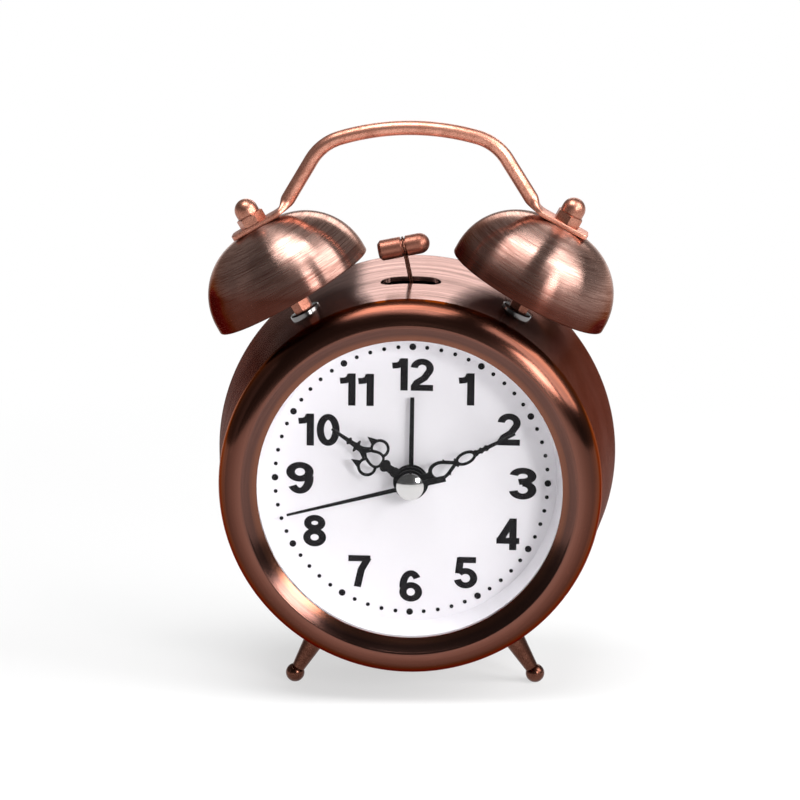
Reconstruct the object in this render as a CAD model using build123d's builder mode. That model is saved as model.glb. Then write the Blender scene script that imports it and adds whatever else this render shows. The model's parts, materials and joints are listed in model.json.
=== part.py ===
from build123d import *
from math import asin, cos, degrees, pi, radians, sin, sqrt, tan
import os

# Twin-bell alarm clock. Millimetres, +Z up, the dial looks along -Y.
# The origin is on the ground, under the middle of the clock's box.
# "Depth" runs from the dial's face towards the rear, "height" from the dial's centre upwards.

os.makedirs("parts", exist_ok=True)

# Frame of the dial
DIAL_HEIGHT = 48.2          # dial centre above the ground
DIAL_DEPTH = -14.4          # dial face along Y
BELL_DEPTH = 7.0            # plane of the bells, posts and handle
HAMMER_DEPTH = 9.0          # plane of the hammer and its slot

# Case shell, a drum that widens towards the rear
CASE_FRONT = -6.0
CASE_REAR = 31.0
CASE_FRONT_RADIUS = 41.6
CASE_REAR_RADIUS = 45.0
CASE_WALL = 1.0
CASE_REAR_ROUND = 3.0
CASE_FLANGE_RADIUS = 38.0   # opening of the front flange
CASE_LIP_RADIUS = 41.3      # opening of the rear lip
SEAT_DEPTH = 2.4            # rear of the inner frame, front of its seat in the case
SEAT_RADIUS = 39.4
SLOT_LENGTH = 13.4
SLOT_WIDTH = 5.6
HOLE_REACH = 9.0            # how far the holes for slot, posts and feet run outwards

# Bezel, glass and dial
BEZEL_INNER_RADIUS = 33.3
BEZEL_CREST_RADIUS = 37.0
BEZEL_OUTER_RADIUS = 41.9
BEZEL_LIP = -9.4
BEZEL_CREST = -11.0
BEZEL_BEVEL_END = (36.1, 0.25)      # radius, and fall from the crest
BEZEL_SHOULDER = (39.4, 0.85)
BEZEL_SIDE = (41.3, 2.7)
BEZEL_FOOT_RADIUS = 40.4
BEZEL_RECESS_RADIUS = 39.6
GLASS_RADIUS = 34.3
GLASS_GAP = 0.1
GLASS_FRONT = -9.0
GLASS_REAR = -7.6
DIAL_RADIUS = 36.0
DIAL_THICKNESS = 0.8
DIAL_VIEW_RADIUS = 32.0
RING_RADIUS = 35.5
FRAME_RADIUS = 40.5

# Bells and what clamps them, on axes that lean out and cross under the dial's centre
BELL_LEAN = 29.0
BELL_CROSSING = -5.4        # height where the axes cross, the start of the distances along them
BELL_RIM = 52.9
BELL_RIM_RADIUS = 18.5
BELL_SKIRT_END = 54.6       # end of the straight skirt, start of the shoulder
BELL_SHOULDER_ROUND = 14.3
BELL_CROWN_ROUND = 30.0
BELL_WALL = 0.8
BELL_FLAT_RADIUS = 3.8
POST_ACROSS = 4.0
POST_SHOULDER = 0.5         # flat inside the bell, around the post
STUD_RADIUS = 1.5
STUD_GAP = 0.06
STUD_END = 1.0              # stud above the cap nut's hexagon
WASHER_RADIUS = 3.5
WASHER_TOP = 48.45
WASHER_BLANK = 2.5          # thickness before the case's curve is cut away
WASHER_CHAMFER = 0.5
STUD_FOOT = 43.7
NUT_ACROSS = 5.5
NUT_TOP = 45.7
NUT_HEIGHT = 2.0
CAP_NUT_HEX = 2.6
CAP_NUT_HEIGHT = 5.8
CAP_NUT_DOME_RADIUS = 2.4

# Carrying handle, round wire with flattened ends
HANDLE_WIRE_RADIUS = 1.45
HANDLE_TOP = 79.6           # where the two halves of the arch would meet
HANDLE_BEND = (19.05, 73.8)
HANDLE_LEG_END = (26.8, 61.0)
HANDLE_ARCH_ROUND = 53.5
HANDLE_BEND_ROUND = 7.0
HANDLE_TAB_THICKNESS = 1.2
HANDLE_TAB_WIDTH = 6.4
HANDLE_TAB_ROUND = 3.0
# The wire flattens into the tab: half width and half thickness of that run at each end,
# and how far each end laps into the wire and the tab
HANDLE_RUN_START = (1.42, 1.4)
HANDLE_RUN_END = (2.8, 0.55)
HANDLE_WIRE_LAP = 0.6
HANDLE_TAB_LAP = 2.2
HANDLE_TAB_INNER = -6.2     # along the tab, from the bell's axis
HANDLE_TAB_OUTER = 5.4

# Feet
FOOT_LEAN = 30.2
FOOT_DEPTH = 7.0
FOOT_BALL_RADIUS = 2.1
FOOT_TOP_RADIUS = 2.2
FOOT_NECK_RADIUS = 1.45
FOOT_STUD_RADIUS = 1.2
FOOT_FLAT = 0.15
FOOT_SINK = 1.0             # blank of a foot below the case's surface
FOOT_COLLAR = 2.2
FOOT_NECK_END = 1.5         # end of the taper above the ball's centre
REAR_FOOT_DEPTH = 26.0
REAR_FOOT_RADIUS = 2.6
REAR_FOOT_ROUND = 0.8

# Hammer, swinging on a pin under the slot
PIVOT_X = 0.6
PIVOT_HEIGHT = 40.0
PIVOT_PIN_RADIUS = 0.75
HAMMER_LEAN = 10.8          # at rest, towards the left bell
HAMMER_REACH = 10.75        # pin to the middle of the head
HAMMER_HEAD_RADIUS = 2.27
HAMMER_HEAD_LENGTH = 11.4
HAMMER_HEAD_CHAMFER = 0.7
HAMMER_WIRE_RADIUS = 0.45
GROOVE_RADIUS = 1.75
GROOVE_HALF = 0.5
GROOVE_GAP = 0.02
HAMMER_SWING_LEFT = 10.0
HAMMER_SWING_RIGHT = 27.5
LEVER_THICKNESS = 1.6
LEVER_HUB_RADIUS = 1.7
LEVER_HUB_HALF = 2.2
CRANK_DISTANCE = 9.5        # pin to crank axis
CRANK_PIN_RADIUS = 0.6
FORK_GAP = 2.4
FORK_PRONG = 1.0
FORK_ROOT = 1.0             # slot above the pin's highest place
FORK_TIP = 1.4              # prongs below the pin's lowest place
CRANK_DISC_RADIUS = 3.9
CRANK_DISC_FRONT = 10.3
CRANK_DISC_REAR = 11.5
CRANK_PIN_FRONT = 7.9
MOTOR_RADIUS = 6.0
MOTOR_FLATS = 10.0
MOTOR_LENGTH = 12.0
MOTOR_BOSS_RADIUS = 2.0
MOTOR_BOSS_LENGTH = 1.0
MOTOR_SHAFT_RADIUS = 0.75
MOTOR_SHAFT_END = 1.5       # inside the motor's rear
MOTOR_BORE_END = 1.0
BRACKET_FRONT = 4.8
BRACKET_REAR = 13.2
BRACKET_SHEET = 1.2
BRACKET_HALF_WIDTH = 10.4
BRACKET_BOTTOM = 24.0
BRACKET_SHOULDER = 35.0
BRACKET_TOP = 41.3
BRACKET_NECK = 3.0
BRACKET_SHAFT_HOLE = 2.2
BRACKET_SPACERS = [(-6.0, 26.6), (7.6, 26.6)]
SPACER_RADIUS = 2.2

# Running fits
SHAFT_GAP = 0.05
CLEARANCE = 0.3

# Movement housing
MOVEMENT_HALF_WIDTH = 25.0
MOVEMENT_BOTTOM = -13.8
MOVEMENT_TOP = 22.0
MOVEMENT_WALL = 1.0
PLATE_FRONT = SEAT_DEPTH
PLATE_REAR = 3.6
HOUSING_INNER = 15.6
HOUSING_REAR = 16.8
NOSE_RADIUS = 3.4
NOSE_FRONT = -0.5
NOSE_GAP = 0.1
SCREW_BOSS_RADIUS = 1.9
MOVEMENT_SCREW_PLACES = [(-22.0, 19.0), (22.0, 19.0), (-22.0, -10.8), (22.0, -10.8)]
MOVEMENT_SCREW_DEPTH = 4.5  # into the rear shell

# Nested centre shafts, outer radii from the outside in
ALARM_PIPE_RADIUS = 2.6
HOUR_PIPE_RADIUS = 1.95
MINUTE_PIPE_RADIUS = 1.4
SECOND_SHAFT_RADIUS = 0.7

# Wheel trains: teeth and modules
SECOND_WHEEL_TEETH = 60
SECOND_PINION_TEETH = 10
MIDDLE_WHEEL_TEETH = 60
MIDDLE_PINION_TEETH = 10
ROTOR_PINION_TEETH = 12
THIRD_WHEEL_TEETH = 75
THIRD_PINION_TEETH = 10
CENTRE_WHEEL_TEETH = 80
CANNON_TEETH = 12
MOTION_WHEEL_TEETH = 36
MOTION_PINION_TEETH = 10
HOUR_WHEEL_TEETH = 40
TIME_PINION_TEETH = 12
ALARM_WHEEL_TEETH = 52
ALARM_PINION_TEETH = 20
TRAIN_MODULE = 0.2
SETTING_MODULE = 0.375
ALARM_MODULE = 0.46
WHEEL_THICKNESS = 0.8
PINION_THICKNESS = 1.2
STUD_PIN_RADIUS = 0.4       # posts that the off-centre wheels turn on
MOTION_PIN_RADIUS = 0.5
MOTION_SHOULDER_RADIUS = 0.8
MOTION_SHOULDER = 1.2       # behind the motion wheel's middle
PIN_REACH = 0.9             # posts in front of their pinion's middle
BORE_REACH = 1.0            # bores in front of and behind the middle of a wheel
ARBOR_RADIUS = 0.75
MOTION_ARBOR_RADIUS = 1.3
ROTOR_ARBOR_RADIUS = 0.8
ROTOR_PIN_FRONT = 9.0
ROTOR_ARBOR_FRONT = 9.2
MAGNET_RADIUS = 2.0
MAGNET_FRONT = 9.4
MAGNET_REAR = 11.6
SHAFT_END = 0.2             # second hand's shaft inside the housing's rear

# Teeth, in modules and in shares of half a tooth's width
TOOTH_WIDTH = 0.84
TOOTH_ROOT = 1.05
TOOTH_TIP = 0.72
TOOTH_ROOT_FLARE = 1.35
TOOTH_TIP_TAPER = 0.42

# Depth of the middle of each pair of wheels
ALARM_LEVEL = 4.6
HOUR_LEVEL = 6.1
MOTION_LEVEL = 7.8
CENTRE_LEVEL = 9.6
THIRD_LEVEL = 11.2
SECOND_LEVEL = 12.8
MIDDLE_LEVEL = 14.35

# Directions of the wheel axes, anticlockwise from +X as seen from the front
THIRD_DIRECTION = 140.0
MIDDLE_DIRECTION = 60.0
ROTOR_DIRECTION = 15.0
MOTION_DIRECTION = 205.0
TIME_DIRECTION = 197.0

# Electrics of the movement
BOARD_FRONT = 13.0
BOARD_REAR = 14.2
BOARD_LOW = (-23.6, -1.0)
BOARD_HIGH = (-12.0, 16.0)
CHIP_LOW = (-22.0, 5.0)
CHIP_HIGH = (-17.5, 9.5)
CHIP_THICKNESS = 1.0
CRYSTAL_PLACE = (-20.0, 10.2)
CRYSTAL_RADIUS = 1.0
CRYSTAL_LENGTH = 5.2
CORE_LOW = (-11.0, 16.3)
CORE_HIGH = (14.0, 18.7)
CORE_FRONT = 9.9
CORE_REAR = 11.1
STATOR_HALF_WIDTH = 3.5
STATOR_BORE_RADIUS = 2.6
COIL_START = -9.0
COIL_END = 5.5
BOBBIN_RADIUS = 2.0
BOBBIN_FLANGE_RADIUS = 3.4
BOBBIN_FLANGE = 0.7
WINDING_RADIUS = 3.1

# Hands, clockwise angles from twelve as in the photograph
HOUR_ANGLE = 305.7
MINUTE_ANGLE = 63.5
SECOND_ANGLE = 256.6
ALARM_ANGLE = 1.6
HAND_THICKNESS = 0.4
ALARM_HAND_FRONT = -1.6
HOUR_HAND_FRONT = -3.0
MINUTE_HAND_FRONT = -4.4
SECOND_HAND_FRONT = -5.8
ALARM_HAND_LENGTH = 19.0
HOUR_HAND_LENGTH = 21.05
MINUTE_HAND_LENGTH = 25.65
SECOND_HAND_LENGTH = 27.85
SECOND_HAND_TAIL = 7.95
ALARM_HUB_RADIUS = 3.9
HOUR_HUB_RADIUS = 3.7
MINUTE_HUB_RADIUS = 3.3
SECOND_HUB_RADIUS = 2.2
# Beads on a hand: distance from the centre, half width, half height
HOUR_BEADS = [(4.2, 1.15, 1.2), (6.8, 1.42, 1.1), (14.4, 1.45, 0.42), (16.4, 0.85, 0.45)]
MINUTE_BEADS = [(11.3, 1.05, 0.4), (16.1, 0.72, 0.55), (17.35, 0.68, 0.5), (18.6, 0.68, 0.55)]
# Loops of the hour hand: side place, outer radius and width of its metal; thorn, collar
# and pear as points of one half, across and along the hand
HOUR_LOOP_PLACE = (2.5, 9.95)
HOUR_LOOP_RADIUS = 2.13
HOUR_LOOP_WALL = 0.6
HOUR_THORN = [(2.0, 11.6), (3.9, 11.4), (3.1, 13.7)]
HOUR_COLLAR = [(0.0, 11.6), (1.7, 11.6), (1.1, 12.5), (0.5, 13.6), (0.0, 13.8)]
HOUR_PEAR_OUTER = [(0.0, 7.5), (1.6, 8.1), (1.9, 9.5), (1.35, 11.2), (0.0, 12.4)]
HOUR_PEAR_INNER = [(0.0, 8.05), (1.2, 8.5), (1.35, 9.5), (0.82, 10.9), (0.0, 11.85)]
MINUTE_THORN = [(1.3, 8.5), (2.05, 8.95), (1.1, 9.5)]
CENTRE_CAP_RADIUS = 3.0
CENTRE_CAP_HEIGHT = 1.2
CENTRE_CAP_EDGE = 0.35

# Rear cover, knobs, switch and battery
COVER_FRONT = CASE_REAR
COVER_THICKNESS = 1.8
COVER_REAR = COVER_FRONT + COVER_THICKNESS
COVER_RADIUS = 42.3
COVER_ROUND = 0.7
KNOB_RADIUS = 6.2
KNOB_FRONT = 33.4
KNOB_REAR = 39.8
KNOB_SHAFT_RADIUS = 1.5
KNOB_FLUTES = 20
KNOB_FLUTE_RADIUS = 0.6
KNOB_FLUTE_OUTSET = 0.25
KNOB_DISH_DEPTH = 0.8
KNOB_DISH_EDGE = 1.6
SCREW_RADIUS = 1.0
SCREW_HEAD_RADIUS = 2.1
SCREW_HEAD_HEIGHT = 1.3
SCREW_HEAD_ROUND = 0.6
SCREW_CROSS = (0.6, 2.8)    # width and length of the cross in the head
SCREW_CROSS_DEPTH = 0.7
SCREW_LENGTH = 7.5
SCREW_HOLE_DEPTH = 8.0
SCREW_HOLE_GAP = 0.1
BRACKET_SCREW_HEAD = (1.8, 1.0)     # radius and height
SCREW_PLACES = [(-33.0, 14.0), (33.0, 14.0), (-33.0, -8.0), (33.0, -8.0)]
FRAME_POST_RADIUS = 2.6
CELL_RADIUS = 7.25
CELL_LENGTH = 50.5
CELL_HEIGHT = -22.5
CELL_DEPTH = 23.2
CELL_ROUND = 0.5
CELL_BUTTON_RADIUS = 2.6
CELL_BUTTON_LENGTH = 1.4
CONTACT_SHEET = 0.4
CONTACT_HALF = 4.0
CONTACT_BEND = 1.0          # half height of the spring's contact point
TRAY_WALL = 0.8
TRAY_GAP = 0.1
TRAY_HALF_LENGTH = 26.6
DOOR_MARGIN = 1.3
DOOR_THICKNESS = 1.1
DOOR_RIBS = 3
DOOR_RIB_HALF_LENGTH = 5.0
DOOR_RIB_WIDTH = 0.6
DOOR_RIB_HEIGHT = 0.4
DOOR_RIB_PITCH = 1.4
DOOR_RIB_EDGE = 2.2
SWITCH_HEIGHT = 14.0
SWITCH_TRAVEL = 4.0
SWITCH_HALF_LENGTH = 2.4
SWITCH_HALF_WIDTH = 1.4
SWITCH_RISE = 1.6           # button above the cover
SWITCH_GROOVE_PITCH = 1.4
SWITCH_GROOVE_WIDTH = 0.6
SWITCH_GROOVE_DEPTH = 0.5
SLEDGE_MARGIN = 1.2
SLEDGE_HALF_WIDTH = 2.4
SLEDGE_FRONT = COVER_FRONT - 2.1
SWITCH_BODY_LEFT = -9.5
SWITCH_BODY_RIGHT = 5.5
SWITCH_BODY_HALF = 3.0
SWITCH_BODY_WALL = 1.1
SWITCH_BODY_FRONT = COVER_FRONT - 5.0
SWITCH_BODY_FLOOR = COVER_FRONT - 2.4


# Places and planes

def front_plane(depth, x=0.0, height=0.0, turn=0.0):
    """Plane facing the front: local x to the right and local y up, turned anticlockwise."""
    return Plane(
        origin=(x, DIAL_DEPTH + depth, DIAL_HEIGHT + height),
        x_dir=(cos(radians(turn)), 0, sin(radians(turn))),
        z_dir=(0, -1, 0),
    )


def profile_plane(x=0.0, height=0.0):
    """Plane of a turned profile: local x is the radius, local y the depth."""
    return Plane(origin=(x, DIAL_DEPTH, DIAL_HEIGHT + height), x_dir=(0, 0, 1), z_dir=(-1, 0, 0))


def depth_axis(x=0.0, height=0.0):
    """Axis of a turned profile, parallel to the dial's axis."""
    return Axis((x, DIAL_DEPTH, DIAL_HEIGHT + height), (0, 1, 0))


def spoke_direction(lean, side, upward=1):
    """Unit vector along a spoke, leaning out to one side."""
    return Vector(side * sin(radians(lean)), 0, upward * cos(radians(lean)))


def spoke_plane(lean, side, depth, upward=1, start=0.0):
    """Plane of a profile turned about a spoke: local x across it, local y along it from its start height."""
    along = spoke_direction(lean, side, upward)
    across = Vector(side * upward * along.Z, 0, -side * upward * along.X)
    return Plane(
        origin=(0, DIAL_DEPTH + depth, DIAL_HEIGHT + start),
        x_dir=across,
        z_dir=across.cross(along),
    )


def spoke_axis(lean, side, depth, upward=1, start=0.0):
    """Axis along a spoke."""
    return Axis((0, DIAL_DEPTH + depth, DIAL_HEIGHT + start), spoke_direction(lean, side, upward))


def spoke_level(lean, side, depth, distance, upward=1, start=0.0):
    """Plane square to a spoke, at a distance from its start."""
    along = spoke_direction(lean, side, upward)
    origin = Vector(0, DIAL_DEPTH + depth, DIAL_HEIGHT + start) + along * distance
    return Plane(origin=origin, x_dir=(0, 1, 0), z_dir=along)


def bell_plane(side):
    """Plane of a profile turned about a bell's axis."""
    return spoke_plane(BELL_LEAN, side, BELL_DEPTH, start=BELL_CROSSING)


def bell_axis(side):
    """Axis of a bell."""
    return spoke_axis(BELL_LEAN, side, BELL_DEPTH, start=BELL_CROSSING)


def bell_level(side, distance):
    """Plane square to a bell's axis, at a distance from the crossing."""
    return spoke_level(BELL_LEAN, side, BELL_DEPTH, distance, start=BELL_CROSSING)


def polar(distance, direction, start=(0.0, 0.0)):
    """Point at a distance and direction from another, in the front plane."""
    return (
        start[0] + distance * cos(radians(direction)),
        start[1] + distance * sin(radians(direction)),
    )


def case_radius(depth):
    """Outer radius of the case drum at a depth."""
    run = CASE_REAR - CASE_REAR_ROUND - CASE_FRONT
    return CASE_FRONT_RADIUS + (CASE_REAR_RADIUS - CASE_FRONT_RADIUS) * (depth - CASE_FRONT) / run


# Gears

def gear_points(teeth, module, turn):
    """Outline of a spur gear with straight-flanked teeth and backlash, one tooth at the turn."""
    pitch = teeth * module / 2
    half = pi / (2 * teeth) * TOOTH_WIDTH
    points = []
    for tooth in range(teeth):
        middle = radians(turn) + 2 * pi * tooth / teeth
        flank = [
            (pitch - TOOTH_ROOT * module, -TOOTH_ROOT_FLARE * half),
            (pitch, -half),
            (pitch + TOOTH_TIP * module, -TOOTH_TIP_TAPER * half),
            (pitch + TOOTH_TIP * module, TOOTH_TIP_TAPER * half),
            (pitch, half),
            (pitch - TOOTH_ROOT * module, TOOTH_ROOT_FLARE * half),
        ]
        points += [(r * cos(middle + a), r * sin(middle + a)) for r, a in flank]
    return points


def meshing_turn(teeth_a, turn_a, teeth_b, direction):
    """Turn of gear B, standing in a direction from gear A, that puts its gap on A's tooth."""
    share = teeth_a * (turn_a - direction) / 360
    return direction + 180 + 360 / teeth_b * (0.5 - share)


def add_gear(level, thickness, teeth, module, place=(0.0, 0.0), turn=0.0):
    """Adds a toothed disc, centred on a level, to the part being built."""
    with BuildSketch(front_plane(level + thickness / 2, *place)) as disc:
        Polygon(*gear_points(teeth, module, turn), align=None)
    extrude(disc.sketch, amount=thickness)


def add_rod(front, rear, radius, place=(0.0, 0.0), mode=Mode.ADD):
    """Adds or cuts a rod along the depth, from one depth to another."""
    with BuildSketch(front_plane(rear, *place)) as disc:
        Circle(radius)
    extrude(disc.sketch, amount=rear - front, mode=mode)


def add_plate(front, rear, low, high, mode=Mode.ADD):
    """Adds or cuts a rectangular block between two corners in the front plane and two depths."""
    middle = ((low[0] + high[0]) / 2, (low[1] + high[1]) / 2)
    with BuildSketch(front_plane(rear, *middle)) as block:
        Rectangle(high[0] - low[0], high[1] - low[1])
    extrude(block.sketch, amount=rear - front, mode=mode)


# Wheel places and turns. The second hand's wheel sets the rest of its train.

second_pair = TRAIN_MODULE * (THIRD_WHEEL_TEETH + SECOND_PINION_TEETH) / 2
third_place = polar(second_pair, THIRD_DIRECTION)
centre_module = 2 * second_pair / (CENTRE_WHEEL_TEETH + THIRD_PINION_TEETH)
middle_pair = TRAIN_MODULE * (SECOND_WHEEL_TEETH + MIDDLE_PINION_TEETH) / 2
middle_place = polar(middle_pair, MIDDLE_DIRECTION)
rotor_pair = TRAIN_MODULE * (MIDDLE_WHEEL_TEETH + ROTOR_PINION_TEETH) / 2
rotor_place = polar(rotor_pair, ROTOR_DIRECTION, middle_place)
motion_pair = SETTING_MODULE * (CANNON_TEETH + MOTION_WHEEL_TEETH) / 2
motion_place = polar(motion_pair, MOTION_DIRECTION)
hour_module = 2 * motion_pair / (HOUR_WHEEL_TEETH + MOTION_PINION_TEETH)
time_pair = SETTING_MODULE * (TIME_PINION_TEETH + MOTION_WHEEL_TEETH) / 2
time_place = polar(time_pair, TIME_DIRECTION, motion_place)
alarm_pair = ALARM_MODULE * (ALARM_WHEEL_TEETH + ALARM_PINION_TEETH) / 2
alarm_direction = degrees(asin(time_place[1] / alarm_pair))
alarm_place = polar(alarm_pair, alarm_direction)

third_wheel_turn = meshing_turn(SECOND_PINION_TEETH, 0, THIRD_WHEEL_TEETH, THIRD_DIRECTION)
centre_wheel_turn = meshing_turn(THIRD_PINION_TEETH, 0, CENTRE_WHEEL_TEETH, THIRD_DIRECTION + 180)
middle_pinion_turn = meshing_turn(SECOND_WHEEL_TEETH, 0, MIDDLE_PINION_TEETH, MIDDLE_DIRECTION)
rotor_turn = meshing_turn(MIDDLE_WHEEL_TEETH, 0, ROTOR_PINION_TEETH, ROTOR_DIRECTION)
motion_wheel_turn = meshing_turn(CANNON_TEETH, 0, MOTION_WHEEL_TEETH, MOTION_DIRECTION)
hour_wheel_turn = meshing_turn(MOTION_PINION_TEETH, 0, HOUR_WHEEL_TEETH, MOTION_DIRECTION + 180)
time_pinion_turn = meshing_turn(MOTION_WHEEL_TEETH, motion_wheel_turn, TIME_PINION_TEETH, TIME_DIRECTION)
alarm_pinion_turn = meshing_turn(ALARM_WHEEL_TEETH, 0, ALARM_PINION_TEETH, alarm_direction)

# Hammer geometry: the crank stands on the middle line of the swing.
swing_half = (HAMMER_SWING_LEFT + HAMMER_SWING_RIGHT) / 2
swing_middle = HAMMER_LEAN + HAMMER_SWING_LEFT - swing_half
crank_radius = CRANK_DISTANCE * tan(radians(swing_half))
crank_place = polar(CRANK_DISTANCE, -90 + swing_middle, (PIVOT_X, PIVOT_HEIGHT))
crank_rest = swing_middle - 90 * HAMMER_SWING_LEFT / swing_half
hammer_plane = front_plane(HAMMER_DEPTH, PIVOT_X, PIVOT_HEIGHT, HAMMER_LEAN)

# Case

with BuildPart() as case_drum:
    with BuildSketch(profile_plane()):
        with BuildLine():
            round_start = CASE_REAR - CASE_REAR_ROUND
            flat = CASE_REAR_RADIUS - CASE_REAR_ROUND
            Line((0, CASE_FRONT), (CASE_FRONT_RADIUS, CASE_FRONT))
            Line((CASE_FRONT_RADIUS, CASE_FRONT), (CASE_REAR_RADIUS, round_start))
            RadiusArc((CASE_REAR_RADIUS, round_start), (flat, CASE_REAR), -CASE_REAR_ROUND)
            Line((flat, CASE_REAR), (0, CASE_REAR))
            Line((0, CASE_REAR), (0, CASE_FRONT))
        make_face()
    revolve(axis=depth_axis())

with BuildPart() as case_body:
    with BuildSketch(profile_plane()):
        with BuildLine():
            inner_round = CASE_REAR_ROUND - CASE_WALL
            inner_front = CASE_FRONT_RADIUS - CASE_WALL
            inner_rear = CASE_REAR_RADIUS - CASE_WALL
            Polyline(
                (CASE_FLANGE_RADIUS, CASE_FRONT),
                (CASE_FRONT_RADIUS, CASE_FRONT),
                (CASE_REAR_RADIUS, round_start),
            )
            RadiusArc((CASE_REAR_RADIUS, round_start), (flat, CASE_REAR), -CASE_REAR_ROUND)
            Polyline(
                (flat, CASE_REAR),
                (CASE_LIP_RADIUS, CASE_REAR),
                (CASE_LIP_RADIUS, CASE_REAR - CASE_WALL),
                (flat, CASE_REAR - CASE_WALL),
            )
            RadiusArc((flat, CASE_REAR - CASE_WALL), (inner_rear, round_start), inner_round)
            Polyline(
                (inner_rear, round_start),
                (case_radius(SEAT_DEPTH + CASE_WALL) - CASE_WALL, SEAT_DEPTH + CASE_WALL),
                (SEAT_RADIUS, SEAT_DEPTH + CASE_WALL),
                (SEAT_RADIUS, SEAT_DEPTH),
                (case_radius(SEAT_DEPTH) - CASE_WALL, SEAT_DEPTH),
                (inner_front, CASE_FRONT + CASE_WALL),
                (CASE_FLANGE_RADIUS, CASE_FRONT + CASE_WALL),
                (CASE_FLANGE_RADIUS, CASE_FRONT),
            )
        make_face()
    revolve(axis=depth_axis())
    # Slot for the hammer's wire
    with BuildSketch(Plane.XY.offset(DIAL_HEIGHT + SEAT_RADIUS)):
        with Locations((0, DIAL_DEPTH + HAMMER_DEPTH)):
            SlotOverall(SLOT_LENGTH, SLOT_WIDTH)
    extrude(amount=HOLE_REACH, mode=Mode.SUBTRACT)
    # Holes for the bell posts, the front feet and the rear foot
    for side in (-1, 1):
        with BuildSketch(bell_level(side, STUD_FOOT)):
            Circle(STUD_RADIUS + STUD_GAP)
        extrude(amount=HOLE_REACH, mode=Mode.SUBTRACT)
        with BuildSketch(spoke_level(FOOT_LEAN, side, FOOT_DEPTH, SEAT_RADIUS, -1)):
            Circle(FOOT_STUD_RADIUS)
        extrude(amount=HOLE_REACH, mode=Mode.SUBTRACT)
    with BuildSketch(spoke_level(0, 1, REAR_FOOT_DEPTH, SEAT_RADIUS, -1)):
        Circle(FOOT_STUD_RADIUS)
    extrude(amount=HOLE_REACH, mode=Mode.SUBTRACT)
case_body.part.label = "case_body"
export_step(case_body.part, "parts/case_body.step")

# Bezel: a bevel rises from the glass to a rounded crest, which falls away to the case.

with BuildPart() as front_bezel:
    with BuildSketch(profile_plane()):
        with BuildLine():
            bevel_end, shoulder, outer_side = (
                (radius, BEZEL_CREST + fall)
                for radius, fall in (BEZEL_BEVEL_END, BEZEL_SHOULDER, BEZEL_SIDE)
            )
            Line((BEZEL_INNER_RADIUS, BEZEL_LIP), bevel_end)
            Spline(
                bevel_end,
                (BEZEL_CREST_RADIUS, BEZEL_CREST),
                shoulder,
                outer_side,
                (BEZEL_OUTER_RADIUS, CASE_FRONT),
            )
            Polyline(
                (BEZEL_OUTER_RADIUS, CASE_FRONT),
                (BEZEL_FOOT_RADIUS, CASE_FRONT),
                (BEZEL_RECESS_RADIUS, GLASS_REAR),
                (GLASS_RADIUS + GLASS_GAP, GLASS_REAR),
                (GLASS_RADIUS + GLASS_GAP, GLASS_FRONT),
                (BEZEL_INNER_RADIUS, GLASS_FRONT),
                (BEZEL_INNER_RADIUS, BEZEL_LIP),
            )
        make_face()
    revolve(axis=depth_axis())
front_bezel.part.label = "front_bezel"
export_step(front_bezel.part, "parts/front_bezel.step")

with BuildPart() as glass_lens:
    add_rod(GLASS_FRONT, GLASS_REAR, GLASS_RADIUS)
glass_lens.part.label = "glass_lens"
export_step(glass_lens.part, "parts/glass_lens.step")

with BuildPart() as dial_ring:
    with BuildSketch(profile_plane()):
        Polygon(
            (BEZEL_INNER_RADIUS, GLASS_REAR),
            (RING_RADIUS, GLASS_REAR),
            (RING_RADIUS, 0),
            (DIAL_VIEW_RADIUS, 0),
            align=None,
        )
    revolve(axis=depth_axis())
dial_ring.part.label = "dial_ring"
export_step(dial_ring.part, "parts/dial_ring.step")

with BuildPart() as dial:
    add_rod(0, DIAL_THICKNESS, DIAL_RADIUS)
    add_rod(0, DIAL_THICKNESS, NOSE_RADIUS + NOSE_GAP, mode=Mode.SUBTRACT)
dial.part.label = "dial"
export_step(dial.part, "parts/dial.step")

# Inner frame: carries the dial, the movement and the hammer bracket, and clamps the cover.

with BuildPart() as inner_frame:
    add_rod(DIAL_THICKNESS, SEAT_DEPTH, FRAME_RADIUS)
    for place in SCREW_PLACES:
        add_rod(SEAT_DEPTH, COVER_FRONT, FRAME_POST_RADIUS, place)
    for place in BRACKET_SPACERS:
        add_rod(SEAT_DEPTH, BRACKET_FRONT, SPACER_RADIUS, place)
    for place in SCREW_PLACES:
        add_rod(COVER_FRONT - SCREW_HOLE_DEPTH, COVER_FRONT, SCREW_RADIUS, place, Mode.SUBTRACT)
    for place in BRACKET_SPACERS:
        add_rod(DIAL_THICKNESS, BRACKET_FRONT, SCREW_RADIUS, place, Mode.SUBTRACT)
    for place in MOVEMENT_SCREW_PLACES:
        add_rod(DIAL_THICKNESS, SEAT_DEPTH, SCREW_RADIUS, place, Mode.SUBTRACT)
    add_rod(DIAL_THICKNESS, SEAT_DEPTH, NOSE_RADIUS + NOSE_GAP, mode=Mode.SUBTRACT)
inner_frame.part.label = "inner_frame"
export_step(inner_frame.part, "parts/inner_frame.step")

# Bells, with their posts, washers, nuts and cap nuts

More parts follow.
